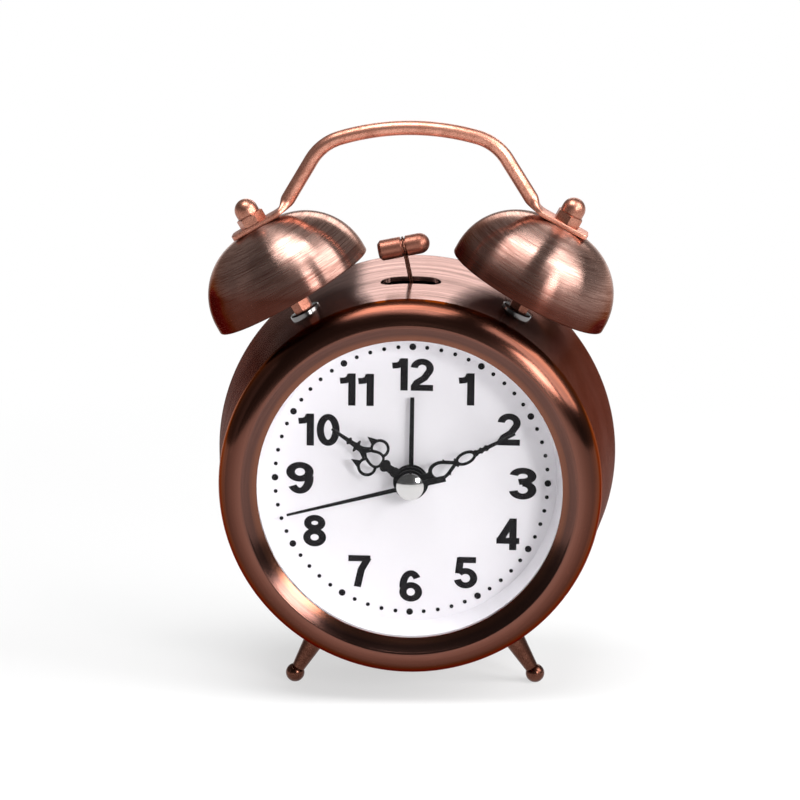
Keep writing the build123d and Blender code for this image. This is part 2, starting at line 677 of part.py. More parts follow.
# The shoulder's arc runs into the crown's arc, whose centre is on the axis.
shoulder_across = BELL_RIM_RADIUS - BELL_SHOULDER_ROUND
crown_offset = BELL_CROWN_ROUND - BELL_SHOULDER_ROUND
shoulder_rise = sqrt(crown_offset**2 - shoulder_across**2)
crown_centre = BELL_SKIRT_END - shoulder_rise
crown_inner = BELL_CROWN_ROUND - BELL_WALL
bell_inner_radius = BELL_RIM_RADIUS - BELL_WALL
outer_join, inner_join = (
    (radius * shoulder_across / crown_offset, crown_centre + radius * shoulder_rise / crown_offset)
    for radius in (BELL_CROWN_ROUND, crown_inner)
)
bell_top = crown_centre + sqrt(BELL_CROWN_ROUND**2 - BELL_FLAT_RADIUS**2)
post_flat_radius = POST_ACROSS / 2 + POST_SHOULDER
post_top = crown_centre + sqrt(crown_inner**2 - post_flat_radius**2)
tab_top = bell_top + HANDLE_TAB_THICKNESS
stud_hole = STUD_RADIUS + STUD_GAP
SIDES = {"left": -1, "right": 1}

for name, side in SIDES.items():
    with BuildPart() as bell:
        with BuildSketch(bell_plane(side)):
            with BuildLine():
                Line((BELL_RIM_RADIUS, BELL_RIM), (BELL_RIM_RADIUS, BELL_SKIRT_END))
                RadiusArc((BELL_RIM_RADIUS, BELL_SKIRT_END), outer_join, -BELL_SHOULDER_ROUND)
                RadiusArc(outer_join, (BELL_FLAT_RADIUS, bell_top), -BELL_CROWN_ROUND)
                Polyline(
                    (BELL_FLAT_RADIUS, bell_top),
                    (stud_hole, bell_top),
                    (stud_hole, post_top),
                    (post_flat_radius, post_top),
                )
                RadiusArc((post_flat_radius, post_top), inner_join, crown_inner)
                skirt_inner = (bell_inner_radius, BELL_SKIRT_END)
                RadiusArc(inner_join, skirt_inner, BELL_SHOULDER_ROUND - BELL_WALL)
                Polyline(skirt_inner, (bell_inner_radius, BELL_RIM), (BELL_RIM_RADIUS, BELL_RIM))
            make_face()
        revolve(axis=bell_axis(side))
    bell.part.label = f"{name}_bell"
    export_step(bell.part, f"parts/{name}_bell.step")

    # Hexagonal post with a threaded stud at each end
    with BuildPart() as bell_post:
        with BuildSketch(bell_level(side, WASHER_TOP)):
            RegularPolygon(POST_ACROSS / 2, 6, major_radius=False)
        extrude(amount=post_top - WASHER_TOP)
        with BuildSketch(bell_level(side, STUD_FOOT)):
            Circle(STUD_RADIUS)
        extrude(amount=tab_top + CAP_NUT_HEX + STUD_END - STUD_FOOT)
    bell_post.part.label = f"{name}_bell_post"
    export_step(bell_post.part, f"parts/{name}_bell_post.step")

    # Domed cap nut that clamps the handle and the bell
    with BuildPart() as cap_nut:
        with BuildSketch(bell_level(side, tab_top)):
            RegularPolygon(NUT_ACROSS / 2, 6, rotation=30, major_radius=False)
        extrude(amount=CAP_NUT_HEX)
        with BuildSketch(bell_plane(side)):
            with BuildLine():
                dome_start = tab_top + CAP_NUT_HEX
                dome_spring = tab_top + CAP_NUT_HEIGHT - CAP_NUT_DOME_RADIUS
                Polyline(
                    (0, dome_start),
                    (CAP_NUT_DOME_RADIUS, dome_start),
                    (CAP_NUT_DOME_RADIUS, dome_spring),
                )
                RadiusArc(
                    (CAP_NUT_DOME_RADIUS, dome_spring),
                    (0, tab_top + CAP_NUT_HEIGHT),
                    -CAP_NUT_DOME_RADIUS,
                )
                Line((0, tab_top + CAP_NUT_HEIGHT), (0, dome_start))
            make_face()
        revolve(axis=bell_axis(side))
        with BuildSketch(bell_level(side, tab_top)):
            Circle(STUD_RADIUS)
        extrude(amount=CAP_NUT_HEX + STUD_END, mode=Mode.SUBTRACT)
    cap_nut.part.label = f"{name}_cap_nut"
    export_step(cap_nut.part, f"parts/{name}_cap_nut.step")

with BuildPart() as post_washers:
    for side in SIDES.values():
        with BuildSketch(bell_level(side, WASHER_TOP - WASHER_BLANK)):
            Circle(WASHER_RADIUS)
        extrude(amount=WASHER_BLANK)
    upper_rims = post_washers.edges().filter_by(GeomType.CIRCLE).group_by(Axis.Z)[-1]
    chamfer(upper_rims, WASHER_CHAMFER)
    add(case_drum.part, mode=Mode.SUBTRACT)
    for side in SIDES.values():
        with BuildSketch(bell_level(side, STUD_FOOT)):
            Circle(stud_hole)
        extrude(amount=WASHER_TOP - STUD_FOOT, mode=Mode.SUBTRACT)
post_washers.part.label = "post_washers"
export_step(post_washers.part, "parts/post_washers.step")

with BuildPart() as post_nuts:
    for side in SIDES.values():
        with BuildSketch(bell_level(side, NUT_TOP - NUT_HEIGHT)):
            RegularPolygon(NUT_ACROSS / 2, 6, major_radius=False)
            Circle(STUD_RADIUS, mode=Mode.SUBTRACT)
        extrude(amount=NUT_HEIGHT)
post_nuts.part.label = "post_nuts"
export_step(post_nuts.part, "parts/post_nuts.step")

# Carrying handle

handle_centre = front_plane(BELL_DEPTH).origin

with BuildPart() as carry_handle:
    with BuildLine(front_plane(BELL_DEPTH)) as arch:
        FilletPolyline(
            (-HANDLE_LEG_END[0], HANDLE_LEG_END[1]),
            (-HANDLE_BEND[0], HANDLE_BEND[1]),
            (0, HANDLE_TOP),
            HANDLE_BEND,
            HANDLE_LEG_END,
            radius=[HANDLE_BEND_ROUND, HANDLE_ARCH_ROUND, HANDLE_BEND_ROUND],
        )
    leg_run = Vector(HANDLE_LEG_END[0] - HANDLE_BEND[0], 0, HANDLE_LEG_END[1] - HANDLE_BEND[1])
    for side in SIDES.values():
        # The wire's end, then the wire flattening into the tab
        leg_end = handle_centre + Vector(side * HANDLE_LEG_END[0], 0, HANDLE_LEG_END[1])
        leg_way = Vector(side * leg_run.X, 0, leg_run.Z).normalized()
        along = spoke_direction(BELL_LEAN, side)
        across = Vector(side * along.Z, 0, -side * along.X)
        tab_middle = bell_level(side, bell_top + HANDLE_TAB_THICKNESS / 2).origin
        tab_start = tab_middle + across * HANDLE_TAB_INNER
        run_start = leg_end - leg_way * HANDLE_WIRE_LAP
        run_end = tab_start + across * HANDLE_TAB_LAP
        with BuildSketch(Plane(origin=run_start, x_dir=(0, 1, 0), z_dir=leg_way)):
            Ellipse(*HANDLE_RUN_START)
        with BuildSketch(Plane(origin=run_end, x_dir=(0, 1, 0), z_dir=across)):
            Ellipse(*HANDLE_RUN_END)
        loft()
    for side in SIDES.values():
        with BuildSketch(bell_level(side, bell_top)):
            tab_length = HANDLE_TAB_OUTER - HANDLE_TAB_INNER
            tab_shift = -side * (HANDLE_TAB_OUTER + HANDLE_TAB_INNER) / 2
            with Locations((0, tab_shift)):
                RectangleRounded(HANDLE_TAB_WIDTH, tab_length, HANDLE_TAB_ROUND)
            Circle(stud_hole, mode=Mode.SUBTRACT)
        extrude(amount=HANDLE_TAB_THICKNESS)
    with BuildSketch(Plane(origin=arch.line @ 0, z_dir=arch.line % 0)):
        Circle(HANDLE_WIRE_RADIUS)
    sweep(path=arch.line)
carry_handle.part.label = "carry_handle"
export_step(carry_handle.part, "parts/carry_handle.step")

# Feet: tapered pegs with ball ends, each with a small flat to stand on

foot_reach = (DIAL_HEIGHT - FOOT_BALL_RADIUS + FOOT_FLAT) / cos(radians(FOOT_LEAN))
for name, side in SIDES.items():
    with BuildPart() as foot:
        with BuildSketch(spoke_plane(FOOT_LEAN, side, FOOT_DEPTH, -1)):
            foot_base = case_radius(FOOT_DEPTH) - FOOT_SINK
            Polygon(
                (0, foot_base),
                (FOOT_TOP_RADIUS, foot_base),
                (FOOT_TOP_RADIUS, foot_base + FOOT_COLLAR),
                (FOOT_NECK_RADIUS, foot_reach - FOOT_NECK_END),
                (0, foot_reach - FOOT_NECK_END),
                align=None,
            )
        revolve(axis=spoke_axis(FOOT_LEAN, side, FOOT_DEPTH, -1))
        ball = spoke_level(FOOT_LEAN, side, FOOT_DEPTH, foot_reach, -1).origin
        with Locations(ball):
            Sphere(FOOT_BALL_RADIUS)
        add(case_drum.part, mode=Mode.SUBTRACT)
        with BuildSketch(spoke_level(FOOT_LEAN, side, FOOT_DEPTH, SEAT_RADIUS, -1)):
            Circle(FOOT_STUD_RADIUS)
        extrude(amount=foot_reach - SEAT_RADIUS)
        split(bisect_by=Plane.XY, keep=Keep.TOP)
    foot.part.label = f"{name}_foot"
    export_step(foot.part, f"parts/{name}_foot.step")

with BuildPart() as rear_foot:
    rear_base = case_radius(REAR_FOOT_DEPTH) - FOOT_SINK
    with BuildSketch(spoke_level(0, 1, REAR_FOOT_DEPTH, rear_base, -1)):
        Circle(REAR_FOOT_RADIUS)
    extrude(amount=DIAL_HEIGHT - rear_base)
    fillet(rear_foot.edges().group_by(Axis.Z)[0], REAR_FOOT_ROUND)
    add(case_drum.part, mode=Mode.SUBTRACT)
    with BuildSketch(spoke_level(0, 1, REAR_FOOT_DEPTH, SEAT_RADIUS, -1)):
        Circle(FOOT_STUD_RADIUS)
    extrude(amount=rear_base + 2 * FOOT_SINK - SEAT_RADIUS)
rear_foot.part.label = "rear_foot"
export_step(rear_foot.part, "parts/rear_foot.step")

# Hammer bracket, pivot pin and motor

with BuildPart() as hammer_bracket:
    middle_x = (BRACKET_SPACERS[0][0] + BRACKET_SPACERS[1][0]) / 2
    bracket_low = (middle_x - BRACKET_HALF_WIDTH, BRACKET_BOTTOM)
    bracket_high = (middle_x + BRACKET_HALF_WIDTH, BRACKET_SHOULDER)
    add_plate(BRACKET_FRONT, BRACKET_REAR, bracket_low, bracket_high)
    neck_low = (PIVOT_X - BRACKET_NECK, BRACKET_SHOULDER)
    neck_high = (PIVOT_X + BRACKET_NECK, BRACKET_TOP)
    add_plate(BRACKET_FRONT, BRACKET_REAR, neck_low, neck_high)
    # Hollow between the two cheeks, open above and below
    hollow_low = (bracket_low[0] + BRACKET_SHEET, BRACKET_BOTTOM)
    hollow_high = (bracket_high[0] - BRACKET_SHEET, BRACKET_TOP)
    add_plate(
        BRACKET_FRONT + BRACKET_SHEET,
        BRACKET_REAR - BRACKET_SHEET,
        hollow_low,
        hollow_high,
        Mode.SUBTRACT,
    )
    add_rod(BRACKET_FRONT, BRACKET_REAR, PIVOT_PIN_RADIUS, (PIVOT_X, PIVOT_HEIGHT), Mode.SUBTRACT)
    add_rod(BRACKET_REAR - BRACKET_SHEET, BRACKET_REAR, BRACKET_SHAFT_HOLE, crank_place, Mode.SUBTRACT)
    for place in BRACKET_SPACERS:
        hole_radius = SCREW_RADIUS + SCREW_HOLE_GAP
        add_rod(BRACKET_FRONT, BRACKET_FRONT + BRACKET_SHEET, hole_radius, place, Mode.SUBTRACT)
hammer_bracket.part.label = "hammer_bracket"
export_step(hammer_bracket.part, "parts/hammer_bracket.step")

with BuildPart() as hammer_pin:
    add_rod(BRACKET_FRONT, BRACKET_REAR, PIVOT_PIN_RADIUS, (PIVOT_X, PIVOT_HEIGHT))
hammer_pin.part.label = "hammer_pin"
export_step(hammer_pin.part, "parts/hammer_pin.step")

motor_rear = BRACKET_REAR + MOTOR_LENGTH

with BuildPart() as bell_motor:
    with BuildSketch(front_plane(motor_rear, *crank_place)):
        Circle(MOTOR_RADIUS)
        Rectangle(2 * MOTOR_RADIUS, MOTOR_FLATS, mode=Mode.INTERSECT)
    extrude(amount=MOTOR_LENGTH)
    add_rod(motor_rear, motor_rear + MOTOR_BOSS_LENGTH, MOTOR_BOSS_RADIUS, crank_place)
    bore_radius = MOTOR_SHAFT_RADIUS + SHAFT_GAP
    add_rod(BRACKET_REAR, motor_rear - MOTOR_BORE_END, bore_radius, crank_place, Mode.SUBTRACT)
bell_motor.part.label = "bell_motor"
export_step(bell_motor.part, "parts/bell_motor.step")

# Crank on the motor's shaft, with the pin that rocks the lever

with BuildPart() as bell_crank:
    add_rod(CRANK_DISC_FRONT, CRANK_DISC_REAR, CRANK_DISC_RADIUS, crank_place)
    pin_place = polar(crank_radius, crank_rest, crank_place)
    add_rod(CRANK_PIN_FRONT, CRANK_DISC_FRONT, CRANK_PIN_RADIUS, pin_place)
    add_rod(CRANK_DISC_FRONT, CRANK_DISC_REAR, MOTOR_SHAFT_RADIUS, crank_place, Mode.SUBTRACT)
bell_crank.part.label = "bell_crank"
export_step(bell_crank.part, "parts/bell_crank.step")

with BuildPart() as motor_shaft:
    add_rod(CRANK_DISC_FRONT, motor_rear - MOTOR_SHAFT_END, MOTOR_SHAFT_RADIUS, crank_place)
motor_shaft.part.label = "motor_shaft"
export_step(motor_shaft.part, "parts/motor_shaft.step")

# Hammer: forked lever, wire and head, modelled along the leaning hammer plane

lever_plane = hammer_plane.offset(-LEVER_THICKNESS / 2)
fork_end = CRANK_DISTANCE + crank_radius + FORK_TIP
fork_start = CRANK_DISTANCE - crank_radius

with BuildPart() as hammer_lever:
    with BuildSketch(lever_plane):
        Circle(LEVER_HUB_RADIUS)
        with Locations((0, -fork_end / 2)):
            Rectangle(FORK_GAP + 2 * FORK_PRONG, fork_end)
        with Locations((0, -fork_end)):
            Rectangle(FORK_GAP, 2 * (fork_end - fork_start + FORK_ROOT), mode=Mode.SUBTRACT)
        Circle(PIVOT_PIN_RADIUS + SHAFT_GAP, mode=Mode.SUBTRACT)
    extrude(amount=LEVER_THICKNESS)
    with BuildSketch(hammer_plane.offset(-LEVER_HUB_HALF)):
        Circle(LEVER_HUB_RADIUS)
        Circle(PIVOT_PIN_RADIUS + SHAFT_GAP, mode=Mode.SUBTRACT)
    extrude(amount=2 * LEVER_HUB_HALF)
hammer_lever.part.label = "hammer_lever"
export_step(hammer_lever.part, "parts/hammer_lever.step")

hammer_up = Vector(hammer_plane.y_dir)
hammer_across = Vector(hammer_plane.x_dir)
head_centre = hammer_plane.origin + hammer_up * HAMMER_REACH
head_plane = Plane(origin=head_centre, x_dir=hammer_up, z_dir=(0, -1, 0))
head_axis = Axis(head_centre, hammer_across)

with BuildPart() as hammer_head:
    # Profile of the head: local x is its radius, local y points to the left bell
    with BuildSketch(head_plane):
        with BuildLine():
            half_head = HAMMER_HEAD_LENGTH / 2
            Polyline(
                (0, half_head),
                (HAMMER_HEAD_RADIUS - HAMMER_HEAD_CHAMFER, half_head),
                (HAMMER_HEAD_RADIUS, half_head - HAMMER_HEAD_CHAMFER),
                (HAMMER_HEAD_RADIUS, GROOVE_HALF),
                (GROOVE_RADIUS, GROOVE_HALF),
                (GROOVE_RADIUS, -GROOVE_HALF),
                (HAMMER_HEAD_RADIUS, -GROOVE_HALF),
                (HAMMER_HEAD_RADIUS, HAMMER_HEAD_RADIUS - half_head),
            )
            RadiusArc(
                (HAMMER_HEAD_RADIUS, HAMMER_HEAD_RADIUS - half_head),
                (0, -half_head),
                HAMMER_HEAD_RADIUS,
            )
            Line((0, -half_head), (0, half_head))
        make_face()
    revolve(axis=head_axis)
hammer_head.part.label = "hammer_head"
export_step(hammer_head.part, "parts/hammer_head.step")

with BuildPart() as hammer_wire:
    # A ring of wire lies in the head's groove, and its stem runs down to the lever's hub.
    ring_radius = GROOVE_RADIUS + HAMMER_WIRE_RADIUS + GROOVE_GAP
    with BuildSketch(head_plane):
        with Locations((ring_radius, 0)):
            Circle(HAMMER_WIRE_RADIUS)
    revolve(axis=head_axis)
    stem_start = hammer_plane.origin + hammer_up * LEVER_HUB_RADIUS
    with BuildSketch(Plane(origin=stem_start, z_dir=hammer_up)):
        Circle(HAMMER_WIRE_RADIUS)
    extrude(amount=HAMMER_REACH - ring_radius - LEVER_HUB_RADIUS)
hammer_wire.part.label = "hammer_wire"
export_step(hammer_wire.part, "parts/hammer_wire.step")

# Movement housing: a front plate with the nose, and a rear shell with the wheel posts

movement_low = (-MOVEMENT_HALF_WIDTH, MOVEMENT_BOTTOM)
movement_high = (MOVEMENT_HALF_WIDTH, MOVEMENT_TOP)

with BuildPart() as movement_plate:
    add_plate(PLATE_FRONT, PLATE_REAR, movement_low, movement_high)
    add_rod(NOSE_FRONT, PLATE_FRONT, NOSE_RADIUS)
    add_rod(NOSE_FRONT, PLATE_REAR, ALARM_PIPE_RADIUS + SHAFT_GAP, mode=Mode.SUBTRACT)
    for place in MOVEMENT_SCREW_PLACES:
        add_rod(PLATE_FRONT, PLATE_REAR, SCREW_RADIUS, place, Mode.SUBTRACT)
movement_plate.part.label = "movement_plate"
export_step(movement_plate.part, "parts/movement_plate.step")

with BuildPart() as movement_shell:
    add_plate(PLATE_REAR, HOUSING_REAR, movement_low, movement_high)
    inner_low = (movement_low[0] + MOVEMENT_WALL, movement_low[1] + MOVEMENT_WALL)
    inner_high = (movement_high[0] - MOVEMENT_WALL, movement_high[1] - MOVEMENT_WALL)
    add_plate(PLATE_REAR, HOUSING_INNER, inner_low, inner_high, Mode.SUBTRACT)
    for place in MOVEMENT_SCREW_PLACES:
        add_rod(PLATE_REAR, HOUSING_INNER, SCREW_BOSS_RADIUS, place)
        add_rod(PLATE_REAR, PLATE_REAR + MOVEMENT_SCREW_DEPTH, SCREW_RADIUS, place, Mode.SUBTRACT)
    # Fixed posts for the third, middle, rotor and motion wheels
    add_rod(CENTRE_LEVEL - PIN_REACH, HOUSING_INNER, STUD_PIN_RADIUS, third_place)
    add_rod(SECOND_LEVEL - PIN_REACH, HOUSING_INNER, STUD_PIN_RADIUS, middle_place)
    add_rod(ROTOR_PIN_FRONT, HOUSING_INNER, STUD_PIN_RADIUS, rotor_place)
    add_rod(MOTION_LEVEL + MOTION_SHOULDER, HOUSING_INNER, MOTION_SHOULDER_RADIUS, motion_place)
    add_rod(HOUR_LEVEL - PIN_REACH, HOUSING_INNER, MOTION_PIN_RADIUS, motion_place)
    # Bearings of the second hand's shaft and of the two setting shafts
    add_rod(HOUSING_INNER, HOUSING_REAR, SECOND_SHAFT_RADIUS + SHAFT_GAP, mode=Mode.SUBTRACT)
    for place in (time_place, alarm_place):
        add_rod(HOUSING_INNER, HOUSING_REAR, KNOB_SHAFT_RADIUS + SHAFT_GAP, place, Mode.SUBTRACT)
movement_shell.part.label = "movement_shell"
export_step(movement_shell.part, "parts/movement_shell.step")

# Electrics of the movement

with BuildPart() as circuit_board:
    add_plate(BOARD_FRONT, BOARD_REAR, BOARD_LOW, BOARD_HIGH)
circuit_board.part.label = "circuit_board"
export_step(circuit_board.part, "parts/circuit_board.step")

with BuildPart() as clock_chip:
    add_plate(BOARD_FRONT - CHIP_THICKNESS, BOARD_FRONT, CHIP_LOW, CHIP_HIGH)
clock_chip.part.label = "clock_chip"
export_step(clock_chip.part, "parts/clock_chip.step")

with BuildPart() as quartz_crystal:
    crystal_end = front_plane(BOARD_FRONT - CRYSTAL_RADIUS, *CRYSTAL_PLACE).origin
    with BuildSketch(Plane(origin=crystal_end, z_dir=(0, 0, 1))):
        Circle(CRYSTAL_RADIUS)
    extrude(amount=CRYSTAL_LENGTH)
quartz_crystal.part.label = "quartz_crystal"
export_step(quartz_crystal.part, "parts/quartz_crystal.step")

with BuildPart() as stator:
    add_plate(CORE_FRONT, CORE_REAR, CORE_LOW, CORE_HIGH)
    pole_low = (rotor_place[0] - STATOR_HALF_WIDTH, rotor_place[1] - STATOR_HALF_WIDTH)
    add_plate(CORE_FRONT, CORE_REAR, pole_low, (CORE_HIGH[0], CORE_LOW[1]))
    add_rod(CORE_FRONT, CORE_REAR, STATOR_BORE_RADIUS, rotor_place, Mode.SUBTRACT)
stator.part.label = "stator"
export_step(stator.part, "parts/stator.step")

core_height = (CORE_LOW[1] + CORE_HIGH[1]) / 2
core_depth = (CORE_FRONT + CORE_REAR) / 2
coil_end = front_plane(core_depth, COIL_START, core_height).origin
coil_plane = Plane(origin=coil_end, x_dir=(0, 1, 0), z_dir=(1, 0, 0))
coil_length = COIL_END - COIL_START

with BuildPart() as coil_bobbin:
    with BuildSketch(coil_plane):
        Circle(BOBBIN_RADIUS)
    extrude(amount=coil_length)
    for start in (0, coil_length - BOBBIN_FLANGE):
        with BuildSketch(coil_plane.offset(start)):
            Circle(BOBBIN_FLANGE_RADIUS)
        extrude(amount=BOBBIN_FLANGE)
    with BuildSketch(coil_plane):
        Rectangle(CORE_REAR - CORE_FRONT, CORE_HIGH[1] - CORE_LOW[1])
    extrude(amount=coil_length, mode=Mode.SUBTRACT)
coil_bobbin.part.label = "coil_bobbin"
export_step(coil_bobbin.part, "parts/coil_bobbin.step")

with BuildPart() as coil_winding:
    with BuildSketch(coil_plane.offset(BOBBIN_FLANGE)):
        Circle(WINDING_RADIUS)
        Circle(BOBBIN_RADIUS, mode=Mode.SUBTRACT)
    extrude(amount=coil_length - 2 * BOBBIN_FLANGE)
coil_winding.part.label = "coil_winding"
export_step(coil_winding.part, "parts/coil_winding.step")

# Going train

with BuildPart() as rotor_pinion:
    add_rod(ROTOR_ARBOR_FRONT, MIDDLE_LEVEL + PINION_THICKNESS / 2, ROTOR_ARBOR_RADIUS, rotor_place)
    add_gear(MIDDLE_LEVEL, PINION_THICKNESS, ROTOR_PINION_TEETH, TRAIN_MODULE, rotor_place, rotor_turn)
    add_rod(ROTOR_PIN_FRONT, HOUSING_INNER, STUD_PIN_RADIUS + SHAFT_GAP, rotor_place, Mode.SUBTRACT)
rotor_pinion.part.label = "rotor_pinion"
export_step(rotor_pinion.part, "parts/rotor_pinion.step")

with BuildPart() as rotor_magnet:
    add_rod(MAGNET_FRONT, MAGNET_REAR, MAGNET_RADIUS, rotor_place)
    add_rod(MAGNET_FRONT, MAGNET_REAR, ROTOR_ARBOR_RADIUS, rotor_place, Mode.SUBTRACT)
rotor_magnet.part.label = "rotor_magnet"
export_step(rotor_magnet.part, "parts/rotor_magnet.step")

with BuildPart() as middle_wheel:
    add_gear(MIDDLE_LEVEL, WHEEL_THICKNESS, MIDDLE_WHEEL_TEETH, TRAIN_MODULE, middle_place)
    add_gear(
        SECOND_LEVEL,
        PINION_THICKNESS,
        MIDDLE_PINION_TEETH,
        TRAIN_MODULE,
        middle_place,
        middle_pinion_turn,
    )
    add_rod(SECOND_LEVEL, MIDDLE_LEVEL, ARBOR_RADIUS, middle_place)
    bore_radius = STUD_PIN_RADIUS + SHAFT_GAP
    add_rod(SECOND_LEVEL - BORE_REACH, HOUSING_INNER, bore_radius, middle_place, Mode.SUBTRACT)
middle_wheel.part.label = "middle_wheel"
export_step(middle_wheel.part, "parts/middle_wheel.step")

with BuildPart() as second_wheel:
    add_rod(SECOND_HAND_FRONT, HOUSING_REAR - SHAFT_END, SECOND_SHAFT_RADIUS)
    add_gear(SECOND_LEVEL, WHEEL_THICKNESS, SECOND_WHEEL_TEETH, TRAIN_MODULE)
    add_gear(THIRD_LEVEL, PINION_THICKNESS, SECOND_PINION_TEETH, TRAIN_MODULE)
second_wheel.part.label = "second_wheel"
export_step(second_wheel.part, "parts/second_wheel.step")

with BuildPart() as third_wheel:
    add_gear(THIRD_LEVEL, WHEEL_THICKNESS, THIRD_WHEEL_TEETH, TRAIN_MODULE, third_place, third_wheel_turn)
    add_gear(CENTRE_LEVEL, PINION_THICKNESS, THIRD_PINION_TEETH, centre_module, third_place)
    add_rod(CENTRE_LEVEL, THIRD_LEVEL, ARBOR_RADIUS, third_place)
    bore_radius = STUD_PIN_RADIUS + SHAFT_GAP
    add_rod(CENTRE_LEVEL - BORE_REACH, HOUSING_INNER, bore_radius, third_place, Mode.SUBTRACT)
third_wheel.part.label = "third_wheel"
export_step(third_wheel.part, "parts/third_wheel.step")

with BuildPart() as centre_wheel:
    add_gear(CENTRE_LEVEL, WHEEL_THICKNESS, CENTRE_WHEEL_TEETH, centre_module, turn=centre_wheel_turn)
    bore_radius = MINUTE_PIPE_RADIUS + SHAFT_GAP
    add_rod(CENTRE_LEVEL - BORE_REACH, CENTRE_LEVEL + BORE_REACH, bore_radius, mode=Mode.SUBTRACT)
centre_wheel.part.label = "centre_wheel"
export_step(centre_wheel.part, "parts/centre_wheel.step")

# Motion work, which takes the minute hand's turn to the hour hand

with BuildPart() as cannon_pinion:
    add_rod(MINUTE_HAND_FRONT, CENTRE_LEVEL + WHEEL_THICKNESS / 2, MINUTE_PIPE_RADIUS)
    add_gear(MOTION_LEVEL, PINION_THICKNESS, CANNON_TEETH, SETTING_MODULE)
    add_rod(MINUTE_HAND_FRONT, THIRD_LEVEL, SECOND_SHAFT_RADIUS + SHAFT_GAP, mode=Mode.SUBTRACT)
cannon_pinion.part.label = "cannon_pinion"
export_step(cannon_pinion.part, "parts/cannon_pinion.step")

with BuildPart() as motion_wheel:
    add_gear(
        MOTION_LEVEL,
        WHEEL_THICKNESS,
        MOTION_WHEEL_TEETH,
        SETTING_MODULE,
        motion_place,
        motion_wheel_turn,
    )
    add_gear(HOUR_LEVEL, PINION_THICKNESS, MOTION_PINION_TEETH, hour_module, motion_place)
    add_rod(HOUR_LEVEL, MOTION_LEVEL, MOTION_ARBOR_RADIUS, motion_place)
    bore_radius = MOTION_PIN_RADIUS + SHAFT_GAP
    add_rod(HOUR_LEVEL - BORE_REACH, MOTION_LEVEL + BORE_REACH, bore_radius, motion_place, Mode.SUBTRACT)
motion_wheel.part.label = "motion_wheel"
export_step(motion_wheel.part, "parts/motion_wheel.step")

with BuildPart() as hour_wheel:
    add_rod(HOUR_HAND_FRONT, HOUR_LEVEL + WHEEL_THICKNESS / 2, HOUR_PIPE_RADIUS)
    add_gear(HOUR_LEVEL, WHEEL_THICKNESS, HOUR_WHEEL_TEETH, hour_module, turn=hour_wheel_turn)
    add_rod(HOUR_HAND_FRONT, MOTION_LEVEL, MINUTE_PIPE_RADIUS + SHAFT_GAP, mode=Mode.SUBTRACT)
hour_wheel.part.label = "hour_wheel"
export_step(hour_wheel.part, "parts/hour_wheel.step")

with BuildPart() as alarm_wheel:
    add_rod(ALARM_HAND_FRONT, ALARM_LEVEL + WHEEL_THICKNESS / 2, ALARM_PIPE_RADIUS)
    add_gear(ALARM_LEVEL, WHEEL_THICKNESS, ALARM_WHEEL_TEETH, ALARM_MODULE)
    add_rod(ALARM_HAND_FRONT, HOUR_LEVEL, HOUR_PIPE_RADIUS + SHAFT_GAP, mode=Mode.SUBTRACT)
alarm_wheel.part.label = "alarm_wheel"
export_step(alarm_wheel.part, "parts/alarm_wheel.step")

# Setting knobs, each with its shaft and pinion

KNOBS = {
    "time_knob": (time_place, MOTION_LEVEL, TIME_PINION_TEETH, SETTING_MODULE, time_pinion_turn),
    "alarm_knob": (alarm_place, ALARM_LEVEL, ALARM_PINION_TEETH, ALARM_MODULE, alarm_pinion_turn),
}
for name, (place, level, teeth, module, turn) in KNOBS.items():
    with BuildPart() as knob:
        add_rod(level, KNOB_FRONT, KNOB_SHAFT_RADIUS, place)
        add_gear(level, PINION_THICKNESS, teeth, module, place, turn)
        with BuildSketch(front_plane(KNOB_REAR, *place)):
            Circle(KNOB_RADIUS)
            with PolarLocations(KNOB_RADIUS + KNOB_FLUTE_OUTSET, KNOB_FLUTES):
                Circle(KNOB_FLUTE_RADIUS, mode=Mode.SUBTRACT)
        extrude(amount=KNOB_REAR - KNOB_FRONT)
        dish_radius = KNOB_RADIUS - KNOB_DISH_EDGE
        add_rod(KNOB_REAR - KNOB_DISH_DEPTH, KNOB_REAR, dish_radius, place, Mode.SUBTRACT)
    knob.part.label = name
    export_step(knob.part, f"parts/{name}.step")

# Hands: flat blanks, modelled pointing up and turned to their hours

def hand_plane(front, angle):
    """Rear face of a hand's blank, with local y pointing along the hand."""
    return front_plane(front + HAND_THICKNESS, turn=-angle)


def add_taper(span, start_half, end_half):
    """Adds a straight tapering blade along a hand, from one distance to another, to its sketch."""
    with BuildLine() as blade:
        Polyline(
            (-start_half, span[0]),
            (start_half, span[0]),
            (end_half, span[1]),
            (-end_half, span[1]),
            close=True,
        )
    make_face(blade.edges())


def add_pear(half, mode=Mode.ADD):
    """Adds or cuts a pear shape, given by the points of its right half from base to tip."""
    with BuildLine() as pear:
        Spline(*half, tangents=[(1, 0), (-1, 1)])
        Spline(*((-x, y) for x, y in half), tangents=[(-1, 0), (1, 1)])
    make_face(pear.edges(), mode=mode)


with BuildPart() as alarm_hand:
    with BuildSketch(hand_plane(ALARM_HAND_FRONT, ALARM_ANGLE)):
        Circle(ALARM_HUB_RADIUS)
        add_taper((0, ALARM_HAND_LENGTH), 0.52, 0.44)
        Circle(ALARM_PIPE_RADIUS, mode=Mode.SUBTRACT)
    extrude(amount=HAND_THICKNESS)
alarm_hand.part.label = "alarm_hand"
export_step(alarm_hand.part, "parts/alarm_hand.step")

